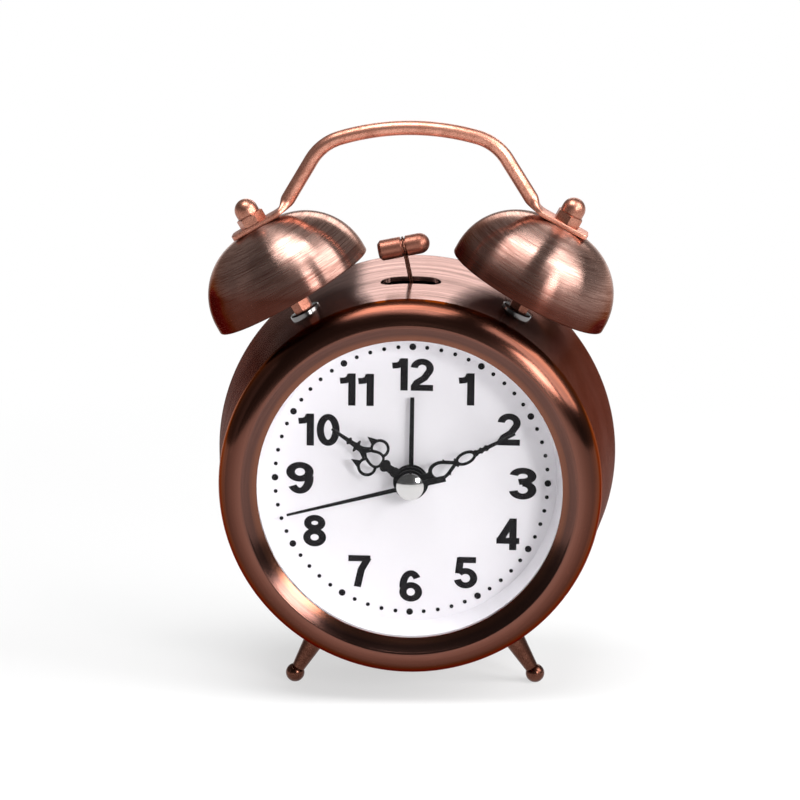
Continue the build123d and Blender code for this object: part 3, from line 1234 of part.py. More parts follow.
with BuildPart() as hour_hand:
    with BuildSketch(hand_plane(HOUR_HAND_FRONT, HOUR_ANGLE)):
        Circle(HOUR_HUB_RADIUS)
        add_taper((2.0, 8.0), 1.1, 0.72)
        add_taper((11.8, 16.4), 0.85, 0.45)
        add_taper((16.4, HOUR_HAND_LENGTH), 0.45, 0.26)
        for distance, half_width, half_height in HOUR_BEADS:
            with Locations((0, distance)):
                Ellipse(half_width, half_height)
        # Two round loops with thorns, and a pear-shaped loop between them
        loops = Locations((-HOUR_LOOP_PLACE[0], HOUR_LOOP_PLACE[1]), HOUR_LOOP_PLACE)
        with loops:
            Circle(HOUR_LOOP_RADIUS)
        for side in (-1, 1):
            Polygon(*((side * x, y) for x, y in HOUR_THORN), align=None)
            Polygon(*((side * x, y) for x, y in HOUR_COLLAR), align=None)
        with loops:
            Circle(HOUR_LOOP_RADIUS - HOUR_LOOP_WALL, mode=Mode.SUBTRACT)
        add_pear(HOUR_PEAR_OUTER)
        add_pear(HOUR_PEAR_INNER, Mode.SUBTRACT)
        Circle(HOUR_PIPE_RADIUS, mode=Mode.SUBTRACT)
    extrude(amount=HAND_THICKNESS)
hour_hand.part.label = "hour_hand"
export_step(hour_hand.part, "parts/hour_hand.step")

with BuildPart() as minute_hand:
    with BuildSketch(hand_plane(MINUTE_HAND_FRONT, MINUTE_ANGLE)):
        Circle(MINUTE_HUB_RADIUS)
        add_taper((2.0, 5.6), 1.0, 0.7)
        # Two open loops that taper into each other
        with BuildLine():
            Spline((0, 4.6), (-2.1, 7.0), (-0.45, 11.2), tangents=[(-1, 0.1), (0.55, 1)])
            Line((-0.45, 11.2), (0.45, 11.2))
            Spline((0.45, 11.2), (2.1, 7.0), (0, 4.6), tangents=[(0.55, -1), (-1, -0.1)])
        make_face()
        with Locations((0, 13.6)):
            Ellipse(1.45, 2.5)
        add_taper((15.6, MINUTE_HAND_LENGTH), 0.5, 0.26)
        for side in (-1, 1):
            Polygon(*((side * x, y) for x, y in MINUTE_THORN), align=None)
        for distance, half_width, half_height in MINUTE_BEADS:
            with Locations((0, distance)):
                Ellipse(half_width, half_height)
        with BuildLine():
            Spline((0, 5.5), (-1.4, 7.1), (0, 10.5), tangents=[(-1, 0.1), (0.5, 1)])
            Spline((0, 10.5), (1.4, 7.1), (0, 5.5), tangents=[(0.5, -1), (-1, -0.1)])
        make_face(mode=Mode.SUBTRACT)
        with Locations((0, 13.6)):
            Ellipse(0.85, 1.75, mode=Mode.SUBTRACT)
        Circle(MINUTE_PIPE_RADIUS, mode=Mode.SUBTRACT)
    extrude(amount=HAND_THICKNESS)
minute_hand.part.label = "minute_hand"
export_step(minute_hand.part, "parts/minute_hand.step")

with BuildPart() as second_hand:
    with BuildSketch(hand_plane(SECOND_HAND_FRONT, SECOND_ANGLE)):
        Circle(SECOND_HUB_RADIUS)
        add_taper((0, SECOND_HAND_LENGTH), 0.5, 0.25)
        add_taper((0, -SECOND_HAND_TAIL), 0.6, 0.7)
        Circle(SECOND_SHAFT_RADIUS, mode=Mode.SUBTRACT)
    extrude(amount=HAND_THICKNESS)
second_hand.part.label = "second_hand"
export_step(second_hand.part, "parts/second_hand.step")

with BuildPart() as centre_cap:
    with BuildSketch(profile_plane()):
        with BuildLine():
            cap_front = SECOND_HAND_FRONT - CENTRE_CAP_HEIGHT
            cap_edge = SECOND_HAND_FRONT - CENTRE_CAP_EDGE
            cap_rise = cap_edge - cap_front
            cap_sphere = (CENTRE_CAP_RADIUS**2 + cap_rise**2) / (2 * cap_rise)
            Polyline(
                (0, cap_front),
                (0, SECOND_HAND_FRONT),
                (CENTRE_CAP_RADIUS, SECOND_HAND_FRONT),
                (CENTRE_CAP_RADIUS, cap_edge),
            )
            RadiusArc((CENTRE_CAP_RADIUS, cap_edge), (0, cap_front), cap_sphere)
        make_face()
    revolve(axis=depth_axis())
centre_cap.part.label = "centre_cap"
export_step(centre_cap.part, "parts/centre_cap.step")

# Rear cover with the battery tray, its door, the alarm switch and the cell

door_recess = COVER_REAR - DOOR_THICKNESS - CLEARANCE
tray_bottom = CELL_HEIGHT - CELL_RADIUS - TRAY_GAP
tray_top = CELL_HEIGHT + CELL_RADIUS + TRAY_GAP
tray_floor = CELL_DEPTH - CELL_RADIUS - TRAY_GAP
door_low = (-TRAY_HALF_LENGTH - DOOR_MARGIN, tray_bottom - DOOR_MARGIN)
door_high = (TRAY_HALF_LENGTH + DOOR_MARGIN, tray_top + DOOR_MARGIN)
slot_half_length = SWITCH_HALF_LENGTH + CLEARANCE
slot_half_width = SWITCH_HALF_WIDTH + CLEARANCE
switch_slot_low = (-SWITCH_TRAVEL - slot_half_length, SWITCH_HEIGHT - slot_half_width)
switch_slot_high = (slot_half_length, SWITCH_HEIGHT + slot_half_width)

with BuildPart() as back_cover:
    add_rod(COVER_FRONT, COVER_REAR, COVER_RADIUS)
    fillet(back_cover.edges().group_by(Axis.Y)[-1], COVER_ROUND)
    add_plate(
        tray_floor - TRAY_WALL,
        COVER_FRONT,
        (-TRAY_HALF_LENGTH - TRAY_WALL, tray_bottom - TRAY_WALL),
        (TRAY_HALF_LENGTH + TRAY_WALL, tray_top + TRAY_WALL),
    )
    add_plate(
        tray_floor,
        COVER_REAR,
        (-TRAY_HALF_LENGTH, tray_bottom),
        (TRAY_HALF_LENGTH, tray_top),
        Mode.SUBTRACT,
    )
    add_plate(
        door_recess,
        COVER_REAR,
        (door_low[0] - CLEARANCE, door_low[1] - CLEARANCE),
        (door_high[0] + CLEARANCE, door_high[1] + CLEARANCE),
        Mode.SUBTRACT,
    )
    add_plate(COVER_FRONT, COVER_REAR, switch_slot_low, switch_slot_high, Mode.SUBTRACT)
    for place in (time_place, alarm_place):
        add_rod(COVER_FRONT, COVER_REAR, KNOB_SHAFT_RADIUS + CLEARANCE, place, Mode.SUBTRACT)
    for place in SCREW_PLACES:
        add_rod(COVER_FRONT, COVER_REAR, SCREW_RADIUS, place, Mode.SUBTRACT)
back_cover.part.label = "back_cover"
export_step(back_cover.part, "parts/back_cover.step")

with BuildPart() as battery_door:
    # The lower edge is a round barrel on the hinge's axis.
    barrel = DOOR_THICKNESS / 2
    add_plate(door_recess + CLEARANCE, COVER_REAR, (door_low[0], door_low[1] + barrel), door_high)
    barrel_end = front_plane(COVER_REAR - barrel, door_low[0], door_low[1] + barrel).origin
    with BuildSketch(Plane(origin=barrel_end, z_dir=(1, 0, 0))):
        Circle(barrel)
    extrude(amount=door_high[0] - door_low[0])
    # Thumb grip: ribs near the free edge
    for rib in range(DOOR_RIBS):
        rib_low = (-DOOR_RIB_HALF_LENGTH, door_high[1] - DOOR_RIB_EDGE - DOOR_RIB_PITCH * rib)
        rib_high = (DOOR_RIB_HALF_LENGTH, rib_low[1] + DOOR_RIB_WIDTH)
        add_plate(COVER_REAR, COVER_REAR + DOOR_RIB_HEIGHT, rib_low, rib_high)
battery_door.part.label = "battery_door"
export_step(battery_door.part, "parts/battery_door.step")

with BuildPart() as battery_cell:
    cell_end = front_plane(CELL_DEPTH, -CELL_LENGTH / 2, CELL_HEIGHT).origin
    cell_plane = Plane(origin=cell_end, z_dir=(1, 0, 0))
    can_length = CELL_LENGTH - CELL_BUTTON_LENGTH
    with BuildSketch(cell_plane):
        Circle(CELL_RADIUS)
    extrude(amount=can_length)
    fillet(battery_cell.edges().filter_by(GeomType.CIRCLE), CELL_ROUND)
    with BuildSketch(cell_plane.offset(can_length)):
        Circle(CELL_BUTTON_RADIUS)
    extrude(amount=CELL_BUTTON_LENGTH)
battery_cell.part.label = "battery_cell"
export_step(battery_cell.part, "parts/battery_cell.step")

# Contact strips at the two ends of the tray: a flat one, and a folded one that springs

with BuildPart() as contact_plus:
    plus_face = CELL_LENGTH / 2
    add_plate(
        CELL_DEPTH - CONTACT_HALF,
        CELL_DEPTH + CONTACT_HALF,
        (plus_face, CELL_HEIGHT - CONTACT_HALF),
        (plus_face + CONTACT_SHEET, CELL_HEIGHT + CONTACT_HALF),
    )
contact_plus.part.label = "contact_plus"
export_step(contact_plus.part, "parts/contact_plus.step")

with BuildPart() as contact_spring:
    wall = -TRAY_HALF_LENGTH
    cell_end_x = -CELL_LENGTH / 2
    spring_top = CELL_HEIGHT + CONTACT_HALF
    spring_bottom = CELL_HEIGHT - CONTACT_HALF
    with BuildSketch(front_plane(CELL_DEPTH + CONTACT_HALF)):
        Polygon(
            (wall, spring_top),
            (wall, spring_bottom),
            (wall + CONTACT_SHEET, spring_bottom),
            (cell_end_x, CELL_HEIGHT - CONTACT_BEND),
            (cell_end_x, CELL_HEIGHT + CONTACT_BEND),
            (cell_end_x - CONTACT_SHEET, CELL_HEIGHT + CONTACT_BEND),
            (cell_end_x - CONTACT_SHEET, CELL_HEIGHT - CONTACT_BEND + CONTACT_SHEET),
            (wall + CONTACT_SHEET, spring_bottom + 2 * CONTACT_SHEET),
            (wall + CONTACT_SHEET, spring_top),
            align=None,
        )
    extrude(amount=2 * CONTACT_HALF)
contact_spring.part.label = "contact_spring"
export_step(contact_spring.part, "parts/contact_spring.step")

with BuildPart() as switch_body:
    body_bottom = SWITCH_HEIGHT - SWITCH_BODY_HALF
    body_top = SWITCH_HEIGHT + SWITCH_BODY_HALF
    body_low = (SWITCH_BODY_LEFT, body_bottom)
    body_high = (SWITCH_BODY_RIGHT, body_top)
    add_plate(SWITCH_BODY_FRONT, SWITCH_BODY_FLOOR, body_low, body_high)
    for left in (SWITCH_BODY_LEFT, SWITCH_BODY_RIGHT - SWITCH_BODY_WALL):
        add_plate(SWITCH_BODY_FLOOR, COVER_FRONT, (left, body_bottom), (left + SWITCH_BODY_WALL, body_top))
switch_body.part.label = "switch_body"
export_step(switch_body.part, "parts/switch_body.step")

with BuildPart() as alarm_switch:
    # A sledge under the cover carries the ribbed button through the slot.
    add_plate(
        SLEDGE_FRONT,
        COVER_FRONT - CLEARANCE,
        (-SWITCH_HALF_LENGTH - SLEDGE_MARGIN, SWITCH_HEIGHT - SLEDGE_HALF_WIDTH),
        (SWITCH_HALF_LENGTH + SLEDGE_MARGIN, SWITCH_HEIGHT + SLEDGE_HALF_WIDTH),
    )
    add_plate(
        COVER_FRONT - CLEARANCE,
        COVER_REAR + SWITCH_RISE,
        (-SWITCH_HALF_LENGTH, SWITCH_HEIGHT - SWITCH_HALF_WIDTH),
        (SWITCH_HALF_LENGTH, SWITCH_HEIGHT + SWITCH_HALF_WIDTH),
    )
    for groove in (-SWITCH_GROOVE_PITCH, 0, SWITCH_GROOVE_PITCH):
        add_plate(
            COVER_REAR + SWITCH_RISE - SWITCH_GROOVE_DEPTH,
            COVER_REAR + SWITCH_RISE,
            (groove - SWITCH_GROOVE_WIDTH / 2, SWITCH_HEIGHT - SWITCH_HALF_WIDTH),
            (groove + SWITCH_GROOVE_WIDTH / 2, SWITCH_HEIGHT + SWITCH_HALF_WIDTH),
            Mode.SUBTRACT,
        )
alarm_switch.part.label = "alarm_switch"
export_step(alarm_switch.part, "parts/alarm_switch.step")

# Screws

head_top = COVER_REAR + SCREW_HEAD_HEIGHT

with BuildPart() as cover_screws:
    for place in SCREW_PLACES:
        add_rod(COVER_FRONT - SCREW_LENGTH, COVER_REAR, SCREW_RADIUS, place)
        add_rod(COVER_REAR, head_top, SCREW_HEAD_RADIUS, place)
    fillet(cover_screws.edges().group_by(Axis.Y)[-1], SCREW_HEAD_ROUND)
    for place in SCREW_PLACES:
        for width, length in (SCREW_CROSS, SCREW_CROSS[::-1]):
            low = (place[0] - width / 2, place[1] - length / 2)
            high = (place[0] + width / 2, place[1] + length / 2)
            add_plate(head_top - SCREW_CROSS_DEPTH, head_top, low, high, Mode.SUBTRACT)
cover_screws.part.label = "cover_screws"
export_step(cover_screws.part, "parts/cover_screws.step")

with BuildPart() as frame_screws:
    for place in MOVEMENT_SCREW_PLACES:
        add_rod(DIAL_THICKNESS, PLATE_REAR + MOVEMENT_SCREW_DEPTH, SCREW_RADIUS, place)
    seat = BRACKET_FRONT + BRACKET_SHEET
    head_radius, head_height = BRACKET_SCREW_HEAD
    for place in BRACKET_SPACERS:
        add_rod(DIAL_THICKNESS, seat, SCREW_RADIUS, place)
        add_rod(seat, seat + head_height, head_radius, place)
frame_screws.part.label = "frame_screws"
export_step(frame_screws.part, "parts/frame_screws.step")
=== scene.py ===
"""Visual model of a twin-bell copper alarm clock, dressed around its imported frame.

Sizes are in millimetres. "Depth" runs from the dial's face to the rear, "height" from the dial's centre up.
"""
import json
import logging
from dataclasses import dataclass, field
from enum import Enum
from functools import cache
from math import acos, atan2, cos, degrees, pi, radians, sin, sqrt, tan

import bpy
from bpy.types import Material, Node, NodeSocket, Object
from mathutils import Matrix, Vector


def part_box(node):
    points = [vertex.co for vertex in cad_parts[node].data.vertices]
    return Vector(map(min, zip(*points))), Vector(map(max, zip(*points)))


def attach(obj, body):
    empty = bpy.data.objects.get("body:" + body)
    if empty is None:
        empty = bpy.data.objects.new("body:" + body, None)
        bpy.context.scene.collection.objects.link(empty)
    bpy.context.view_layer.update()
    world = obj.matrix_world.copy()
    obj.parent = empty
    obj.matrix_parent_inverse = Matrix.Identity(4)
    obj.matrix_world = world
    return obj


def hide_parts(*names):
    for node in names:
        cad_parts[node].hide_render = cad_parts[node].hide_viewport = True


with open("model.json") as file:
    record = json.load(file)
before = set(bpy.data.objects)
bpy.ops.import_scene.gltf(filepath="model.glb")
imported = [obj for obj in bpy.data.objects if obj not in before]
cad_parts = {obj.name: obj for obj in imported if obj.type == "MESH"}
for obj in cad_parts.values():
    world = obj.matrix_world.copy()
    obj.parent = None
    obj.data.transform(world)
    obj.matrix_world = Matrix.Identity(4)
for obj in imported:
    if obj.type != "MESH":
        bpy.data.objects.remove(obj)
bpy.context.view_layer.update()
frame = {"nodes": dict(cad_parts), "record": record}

MM = 0.001
MERGE_DISTANCE = 0.002 * MM
CUT_TOLERANCE = 0.0001 * MM
SMALL_FACES = 64
BLANK_FACES = 72
NOISE_SPAN = (0.3, 0.7)
Point = tuple[float, float]
Triple = tuple[float, float, float]
log = logging.getLogger("clock")


class Side(Enum):
    """The two sides of the clock as its dial is read, with their sign along X."""

    LEFT = -1
    RIGHT = 1

    @property
    def word(self) -> str:
        """The side's name as it stands in the names of pieces."""
        return self.name.lower()


class Smoothness(Enum):
    """Largest angle between faces that are shaded as one surface, in degrees."""

    TURNED = 35.0
    CRISP = 20.0


# Places in the frame


def dial_centre() -> Vector:
    """Middle of the dial's face, in metres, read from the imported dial."""
    low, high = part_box("dial")
    return Vector(((low.x + high.x) / 2, low.y, (low.z + high.z) / 2))


def clock_point(x: float, depth: float, height: float) -> Vector:
    """Turns a place given from the dial's centre into the frame.

    Args:
        x: millimetres to the right.
        depth: millimetres behind the dial's face.
        height: millimetres above the dial's centre.

    Returns:
        The place in metres.
    """
    return dial_centre() + Vector((x, depth, height)) * MM


def drum_place(depth: float = 0.0) -> Matrix:
    """Place of a piece turned about the dial's axis, whose Z runs to the rear from a depth."""
    return Matrix.Translation(clock_point(0, depth, 0)) @ Matrix.Rotation(-pi / 2, 4, "X")


def spoke_place(lean: float, start: Vector) -> Matrix:
    """Place of a piece whose Z leaves a point in the front plane.

    Args:
        lean: degrees from straight up towards the right.
        start: the point, in metres.

    Returns:
        The matrix that puts the piece there.
    """
    return Matrix.Translation(start) @ Matrix.Rotation(radians(lean), 4, "Y")


# Outlines and paths


@dataclass
class Outline:
    """A profile for turning, as points of radius and height."""

    points: list[Point] = field(default_factory=list)

    def line(self, *corners: Point) -> "Outline":
        """Adds straight runs to these corners and returns the outline."""
        self.points += corners
        return self

    def run(self, end: Point, cuts: int) -> "Outline":
        """Adds a straight run divided into equal lengths.

        Args:
            end: the run's last point.
            cuts: how many lengths it has.

        Returns:
            The outline.
        """
        first, last = Vector(self.points[-1]), Vector(end)
        self.points += [tuple(first.lerp(last, i / cuts)) for i in range(1, cuts + 1)]
        return self

    def arc(self, centre: Point, radius: float, start: float, end: float, cuts: int = 12) -> "Outline":
        """Adds an arc.

        Args:
            centre: radius and height of its centre.
            radius: its radius.
            start: angle of its first point, in degrees from the radius direction.
            end: angle of its last point.
            cuts: how many lengths it has.

        Returns:
            The outline.
        """
        for i in range(cuts + 1):
            angle = radians(start + (end - start) * i / cuts)
            self.points.append((centre[0] + radius * cos(angle), centre[1] + radius * sin(angle)))
        return self

    def curve(self, knots: list[Point], cuts: int = 10) -> "Outline":
        """Adds a smooth curve through knots.

        Args:
            knots: the points that it passes through.
            cuts: lengths between two knots.

        Returns:
            The outline.
        """
        ends = [Vector(k) for k in (knots[0], *knots, knots[-1])]
        for a, b, c, d in zip(ends, ends[1:], ends[2:], ends[3:]):
            for i in range(cuts):
                t = i / cuts
                spot = 0.5 * (2 * b + (c - a) * t + (2 * a - 5 * b + 4 * c - d) * t**2
                              + (3 * b - a - 3 * c + d) * t**3)
                self.points.append(tuple(spot))
        self.points.append(knots[-1])
        return self


class BentPath:
    """A route of straight runs with rounded corners in the front plane, followed by distance."""

    def __init__(self, corners: list[Point], rounds: list[float]) -> None:
        """Lays out the runs and arcs.

        Args:
            corners: the route's corners, ends included.
            rounds: the radius at each inner corner.
        """
        spots = [Vector(c) for c in corners]
        self.pieces: list[tuple[float, Vector, Vector, float]] = []
        here = spots[0]
        for before, corner, after, radius in zip(spots, spots[1:], spots[2:], rounds):
            way_in, way_out = (corner - before).normalized(), (after - corner).normalized()
            turn = atan2(way_in.cross(way_out), way_in.dot(way_out))
            reach = radius * tan(abs(turn) / 2)
            start = corner - way_in * reach
            self.pieces.append(((start - here).length, here, way_in, 0.0))
            self.pieces.append((radius * abs(turn), start, way_in, turn))
            here = corner + way_out * reach
        last = spots[-1] - here
        self.pieces.append((last.length, here, last.normalized(), 0.0))

    @property
    def length(self) -> float:
        """Length of the whole route."""
        return sum(piece[0] for piece in self.pieces)

    def at(self, distance: float) -> tuple[Vector, Vector]:
        """Finds a point of the route.

        Args:
            distance: length along the route from its start.

        Returns:
            The point, and the unit direction of the route there.
        """
        for length, start, way, turn in self.pieces:
            if distance <= length or (length, start) == self.pieces[-1][:2]:
                break
            distance -= length
        if turn == 0:
            return start + way * distance, way
        angle = turn * distance / length
        side = Vector((-way.y, way.x)) * (1 if turn > 0 else -1)
        centre = start + side * (length / abs(turn))
        spot = centre + Matrix.Rotation(angle, 2) @ (start - centre)
        return spot, Matrix.Rotation(angle, 2) @ way


# Modelling steps


def clear_selection() -> None:
    """Leaves edit mode and selects nothing."""
    if bpy.context.object and bpy.context.object.mode != "OBJECT":
        bpy.ops.object.mode_set(mode="OBJECT")
    bpy.ops.object.select_all(action="DESELECT")


def select_only(piece: Object) -> None:
    """Makes a piece the only selected object, and the active one.

    Args:
        piece: the object.
    """
    clear_selection()
    piece.select_set(True)
    bpy.context.view_layer.objects.active = piece


def named(name: str) -> Object:
    """Names the object that was just added and returns it.

    Args:
        name: its name, which its data gets too.

    Returns:
        The object.
    """
    piece = bpy.context.object
    piece.name = name
    piece.data.name = name
    return piece


def closed_up() -> None:
    """Merges the doubles of the piece in edit mode, turns its faces outwards and leaves edit mode."""
    bpy.ops.mesh.select_all(action="SELECT")
    bpy.ops.mesh.remove_doubles(threshold=MERGE_DISTANCE)
    bpy.ops.mesh.normals_make_consistent(inside=False)
    bpy.ops.object.mode_set(mode="OBJECT")


def turned(name: str, outline: Outline, steps: int) -> Object:
    """Draws a profile point by point and spins it about Z.

    Args:
        name: the piece's name.
        outline: its profile, which ends where it starts or on the axis.
        steps: faces around.

    Returns:
        The turned piece.
    """
    clear_selection()
    bpy.ops.mesh.primitive_plane_add(size=MM)
    piece = named(name)
    bpy.ops.object.mode_set(mode="EDIT")
    bpy.ops.mesh.select_all(action="SELECT")
    bpy.ops.mesh.merge(type="CENTER")
    here = Vector((0, 0, 0))
    for index, (radius, height) in enumerate(outline.points):
        there = Vector((radius, 0, height)) * MM
        step = {"value": there - here}
        if index == 0:
            bpy.ops.transform.translate(**step)
        else:
            bpy.ops.mesh.extrude_vertices_move(TRANSFORM_OT_translate=step)
        here = there
    bpy.ops.mesh.select_all(action="SELECT")
    bpy.ops.mesh.spin(steps=steps, angle=2 * pi, center=(0, 0, 0), axis=(0, 0, 1))
    closed_up()
    return piece


def placed(piece: Object, place: Matrix) -> Object:
    """Moves a piece to its place and applies that to its mesh.

    Args:
        piece: the object.
        place: the matrix that puts it there.

    Returns:
        The same object, at the origin with its place in its mesh.
    """
    select_only(piece)
    piece.matrix_world = place
    bpy.ops.object.transform_apply(location=True, rotation=True, scale=True)
    return piece


def copied(piece: Object, name: str) -> Object:
    """Copies a piece under a new name, with a mesh of its own.

    Args:
        piece: the object to copy.
        name: the copy's name.

    Returns:
        The copy.
    """
    twin = piece.copy()
    twin.data = piece.data.copy()
    twin.name = name
    twin.data.name = name
    bpy.context.scene.collection.objects.link(twin)
    return twin


def smoothed(piece: Object, how: Smoothness = Smoothness.TURNED) -> Object:
    """Shades a piece smooth, with an edge where faces meet at more than the given angle.

    Args:
        piece: the object.
        how: the largest angle within one surface.

    Returns:
        The same object.
    """
    select_only(piece)
    bpy.ops.object.shade_smooth_by_angle(angle=radians(how.value))
    return piece


def applied(piece: Object, kind: str, **settings: object) -> Object:
    """Adds a modifier and applies it.

    Args:
        piece: the object.
        kind: the modifier's type.
        settings: its values by name.

    Returns:
        The same object.
    """
    select_only(piece)
    modifier = piece.modifiers.new(kind.title(), kind)
    for key, value in settings.items():
        setattr(modifier, key, value)
    bpy.ops.object.modifier_apply(modifier=modifier.name)
    return piece


def joined(first: Object, *others: Object) -> Object:
    """Joins other pieces into the first and returns it.

    Args:
        first: the object that takes the others in.
        others: the objects that go into it.

    Returns:
        The first object.
    """
    select_only(first)
    for other in others:
        other.select_set(True)
    bpy.ops.object.join()
    return first


def hexagon(name: str, across: float, height: float, chamfer: float) -> Object:
    """Models a hexagonal block standing on the ground plane, with turned-off corners at both ends.

    Args:
        name: the piece's name.
        across: width across its flats.
        height: its height.
        chamfer: how far the corners are turned off.

    Returns:
        The block.
    """
    clear_selection()
    corner = across / 2 / cos(pi / 6)
    bpy.ops.mesh.primitive_cylinder_add(
        vertices=6, radius=corner * MM, depth=height * MM, location=(0, 0, height / 2 * MM)
    )
    block = named(name)
    bpy.ops.object.transform_apply(location=True, rotation=True, scale=True)
    drum = turned(
        name + "_blank",
        Outline().line(
            (0, 0), (corner - chamfer, 0), (corner + chamfer, 2 * chamfer * tan(pi / 6)),
            (corner + chamfer, height - 2 * chamfer * tan(pi / 6)), (corner - chamfer, height), (0, height),
        ),
        BLANK_FACES,
    )
    applied(block, "BOOLEAN", operation="INTERSECT", object=drum, solver="EXACT")
    bpy.data.objects.remove(drum)
    return block


# Finishes


class Recipe:
    """A node material in the making, round one Principled shader."""

    def __init__(self, name: str) -> None:
        """Starts the material with its shader and the object's own coordinates.

        Args:
            name: the material's name.
        """
        self.material = bpy.data.materials.new(name)
        self.material.use_nodes = True
        self.tree = self.material.node_tree
        self.shader = self.tree.nodes["Principled BSDF"]
        self.coordinates = self.node("ShaderNodeTexCoord").outputs["Object"]

    def node(self, kind: str, **settings: object) -> Node:
        """Adds a node.

        Args:
            kind: its type name.
            settings: its properties by name.

        Returns:
            The node.
        """
        made = self.tree.nodes.new(kind)
        for key, value in settings.items():
            setattr(made, key, value)
        return made

    def feed(self, socket: NodeSocket, source: object) -> None:
        """Links a socket to another, or sets it to a value.

        Args:
            socket: the input to feed.
            source: an output to link from, or a plain value.
        """
        if isinstance(source, NodeSocket):
            self.tree.links.new(source, socket)
        else:
            socket.default_value = source

    def math(self, operation: str, *sources: object) -> NodeSocket:
        """Adds a Math node on up to three sources and returns its value.

        Args:
            operation: what it does.
            sources: its inputs in order.

        Returns:
            Its output.
        """
        made = self.node("ShaderNodeMath", operation=operation)
        for socket, source in zip(made.inputs, sources):
            self.feed(socket, source)
        return made.outputs[0]

    def vector(self, operation: str, *sources: object, output: int = 0) -> NodeSocket:
        """Adds a Vector Math node on its sources and returns one of its outputs.

        Args:
            operation: what it does.
            sources: its inputs in order.
            output: 0 for a vector, 1 for a value.

        Returns:
            That output.
        """
        made = self.node("ShaderNodeVectorMath", operation=operation)
        for socket, source in zip(made.inputs, sources):
            self.feed(socket, source)
        return made.outputs[output]

    def spread(self, value: NodeSocket, low: float, high: float, to_low: float, to_high: float) -> NodeSocket:
        """Maps a value from one span to another, clamped, and returns it.

        Args:
            value: what is mapped.
            low: start of its span.
            high: end of its span.
            to_low: what the start becomes.
            to_high: what the end becomes.

        Returns:
            The mapped value.
        """
        made = self.node("ShaderNodeMapRange")
        for socket, source in zip(made.inputs, (value, low, high, to_low, to_high)):
            self.feed(socket, source)
        return made.outputs[0]

    def blend(self, share: NodeSocket, first: object, second: object) -> NodeSocket:
        """Mixes two colours by a share and returns the colour.

        Args:
            share: 0 for the first colour, 1 for the second.
            first: a colour or an output.
            second: a colour or an output.

        Returns:
            The mixed colour.
        """
        made = self.node("ShaderNodeMix", data_type="RGBA")
        # A Mix node keeps its colours in inputs 6 and 7 and in output 2
        for index, source in ((0, share), (6, first), (7, second)):
            self.feed(made.inputs[index], (*source, 1.0) if isinstance(source, tuple) else source)
        return made.outputs[2]

    def weighed(self, first: NodeSocket, second: NodeSocket, share: float) -> NodeSocket:
        """Adds two patterns up by their shares.

        Args:
            first: the pattern that has the share.
            second: the pattern that has the rest.
            share: from 0 to 1.

        Returns:
            The sum.
        """
        parts = self.math("MULTIPLY", first, share), self.math("MULTIPLY", second, 1 - share)
        return self.math("ADD", *parts)

    def noise(self, vector: NodeSocket, scale: float, detail: float = 2.0, w: object = None) -> NodeSocket:
        """Adds a noise pattern and returns its value.

        Args:
            vector: where it is read.
            scale: cells in a metre.
            detail: octaves.
            w: a fourth coordinate, where there is one.

        Returns:
            The noise, about 0.5 on average.
        """
        made = self.node("ShaderNodeTexNoise", noise_dimensions="3D" if w is None else "4D")
        self.feed(made.inputs["Vector"], vector)
        self.feed(made.inputs["Scale"], scale)
        self.feed(made.inputs["Detail"], detail)
        if w is not None:
            self.feed(made.inputs["W"], w)
        return made.outputs[0]

    def bump(self, height: NodeSocket, depth: float, strength: float = 1.0) -> None:
        """Raises the surface by a height pattern, of a depth in millimetres.

        Args:
            height: the pattern.
            depth: how far it rises.
            strength: its share, from 0 to 1.
        """
        made = self.node("ShaderNodeBump")
        self.feed(made.inputs["Height"], height)
        self.feed(made.inputs["Distance"], depth * MM)
        self.feed(made.inputs["Strength"], strength)
        self.feed(self.shader.inputs["Normal"], made.outputs[0])

    def set(self, **values: object) -> None:
        """Sets or links the shader's own sockets, named with underscores for spaces.

        Args:
            values: a value or an output for each socket.
        """
        for key, value in values.items():
            socket = self.shader.inputs[key.replace("_", " ")]
            self.feed(socket, (*value, 1.0) if isinstance(value, tuple) and len(value) == 3 else value)


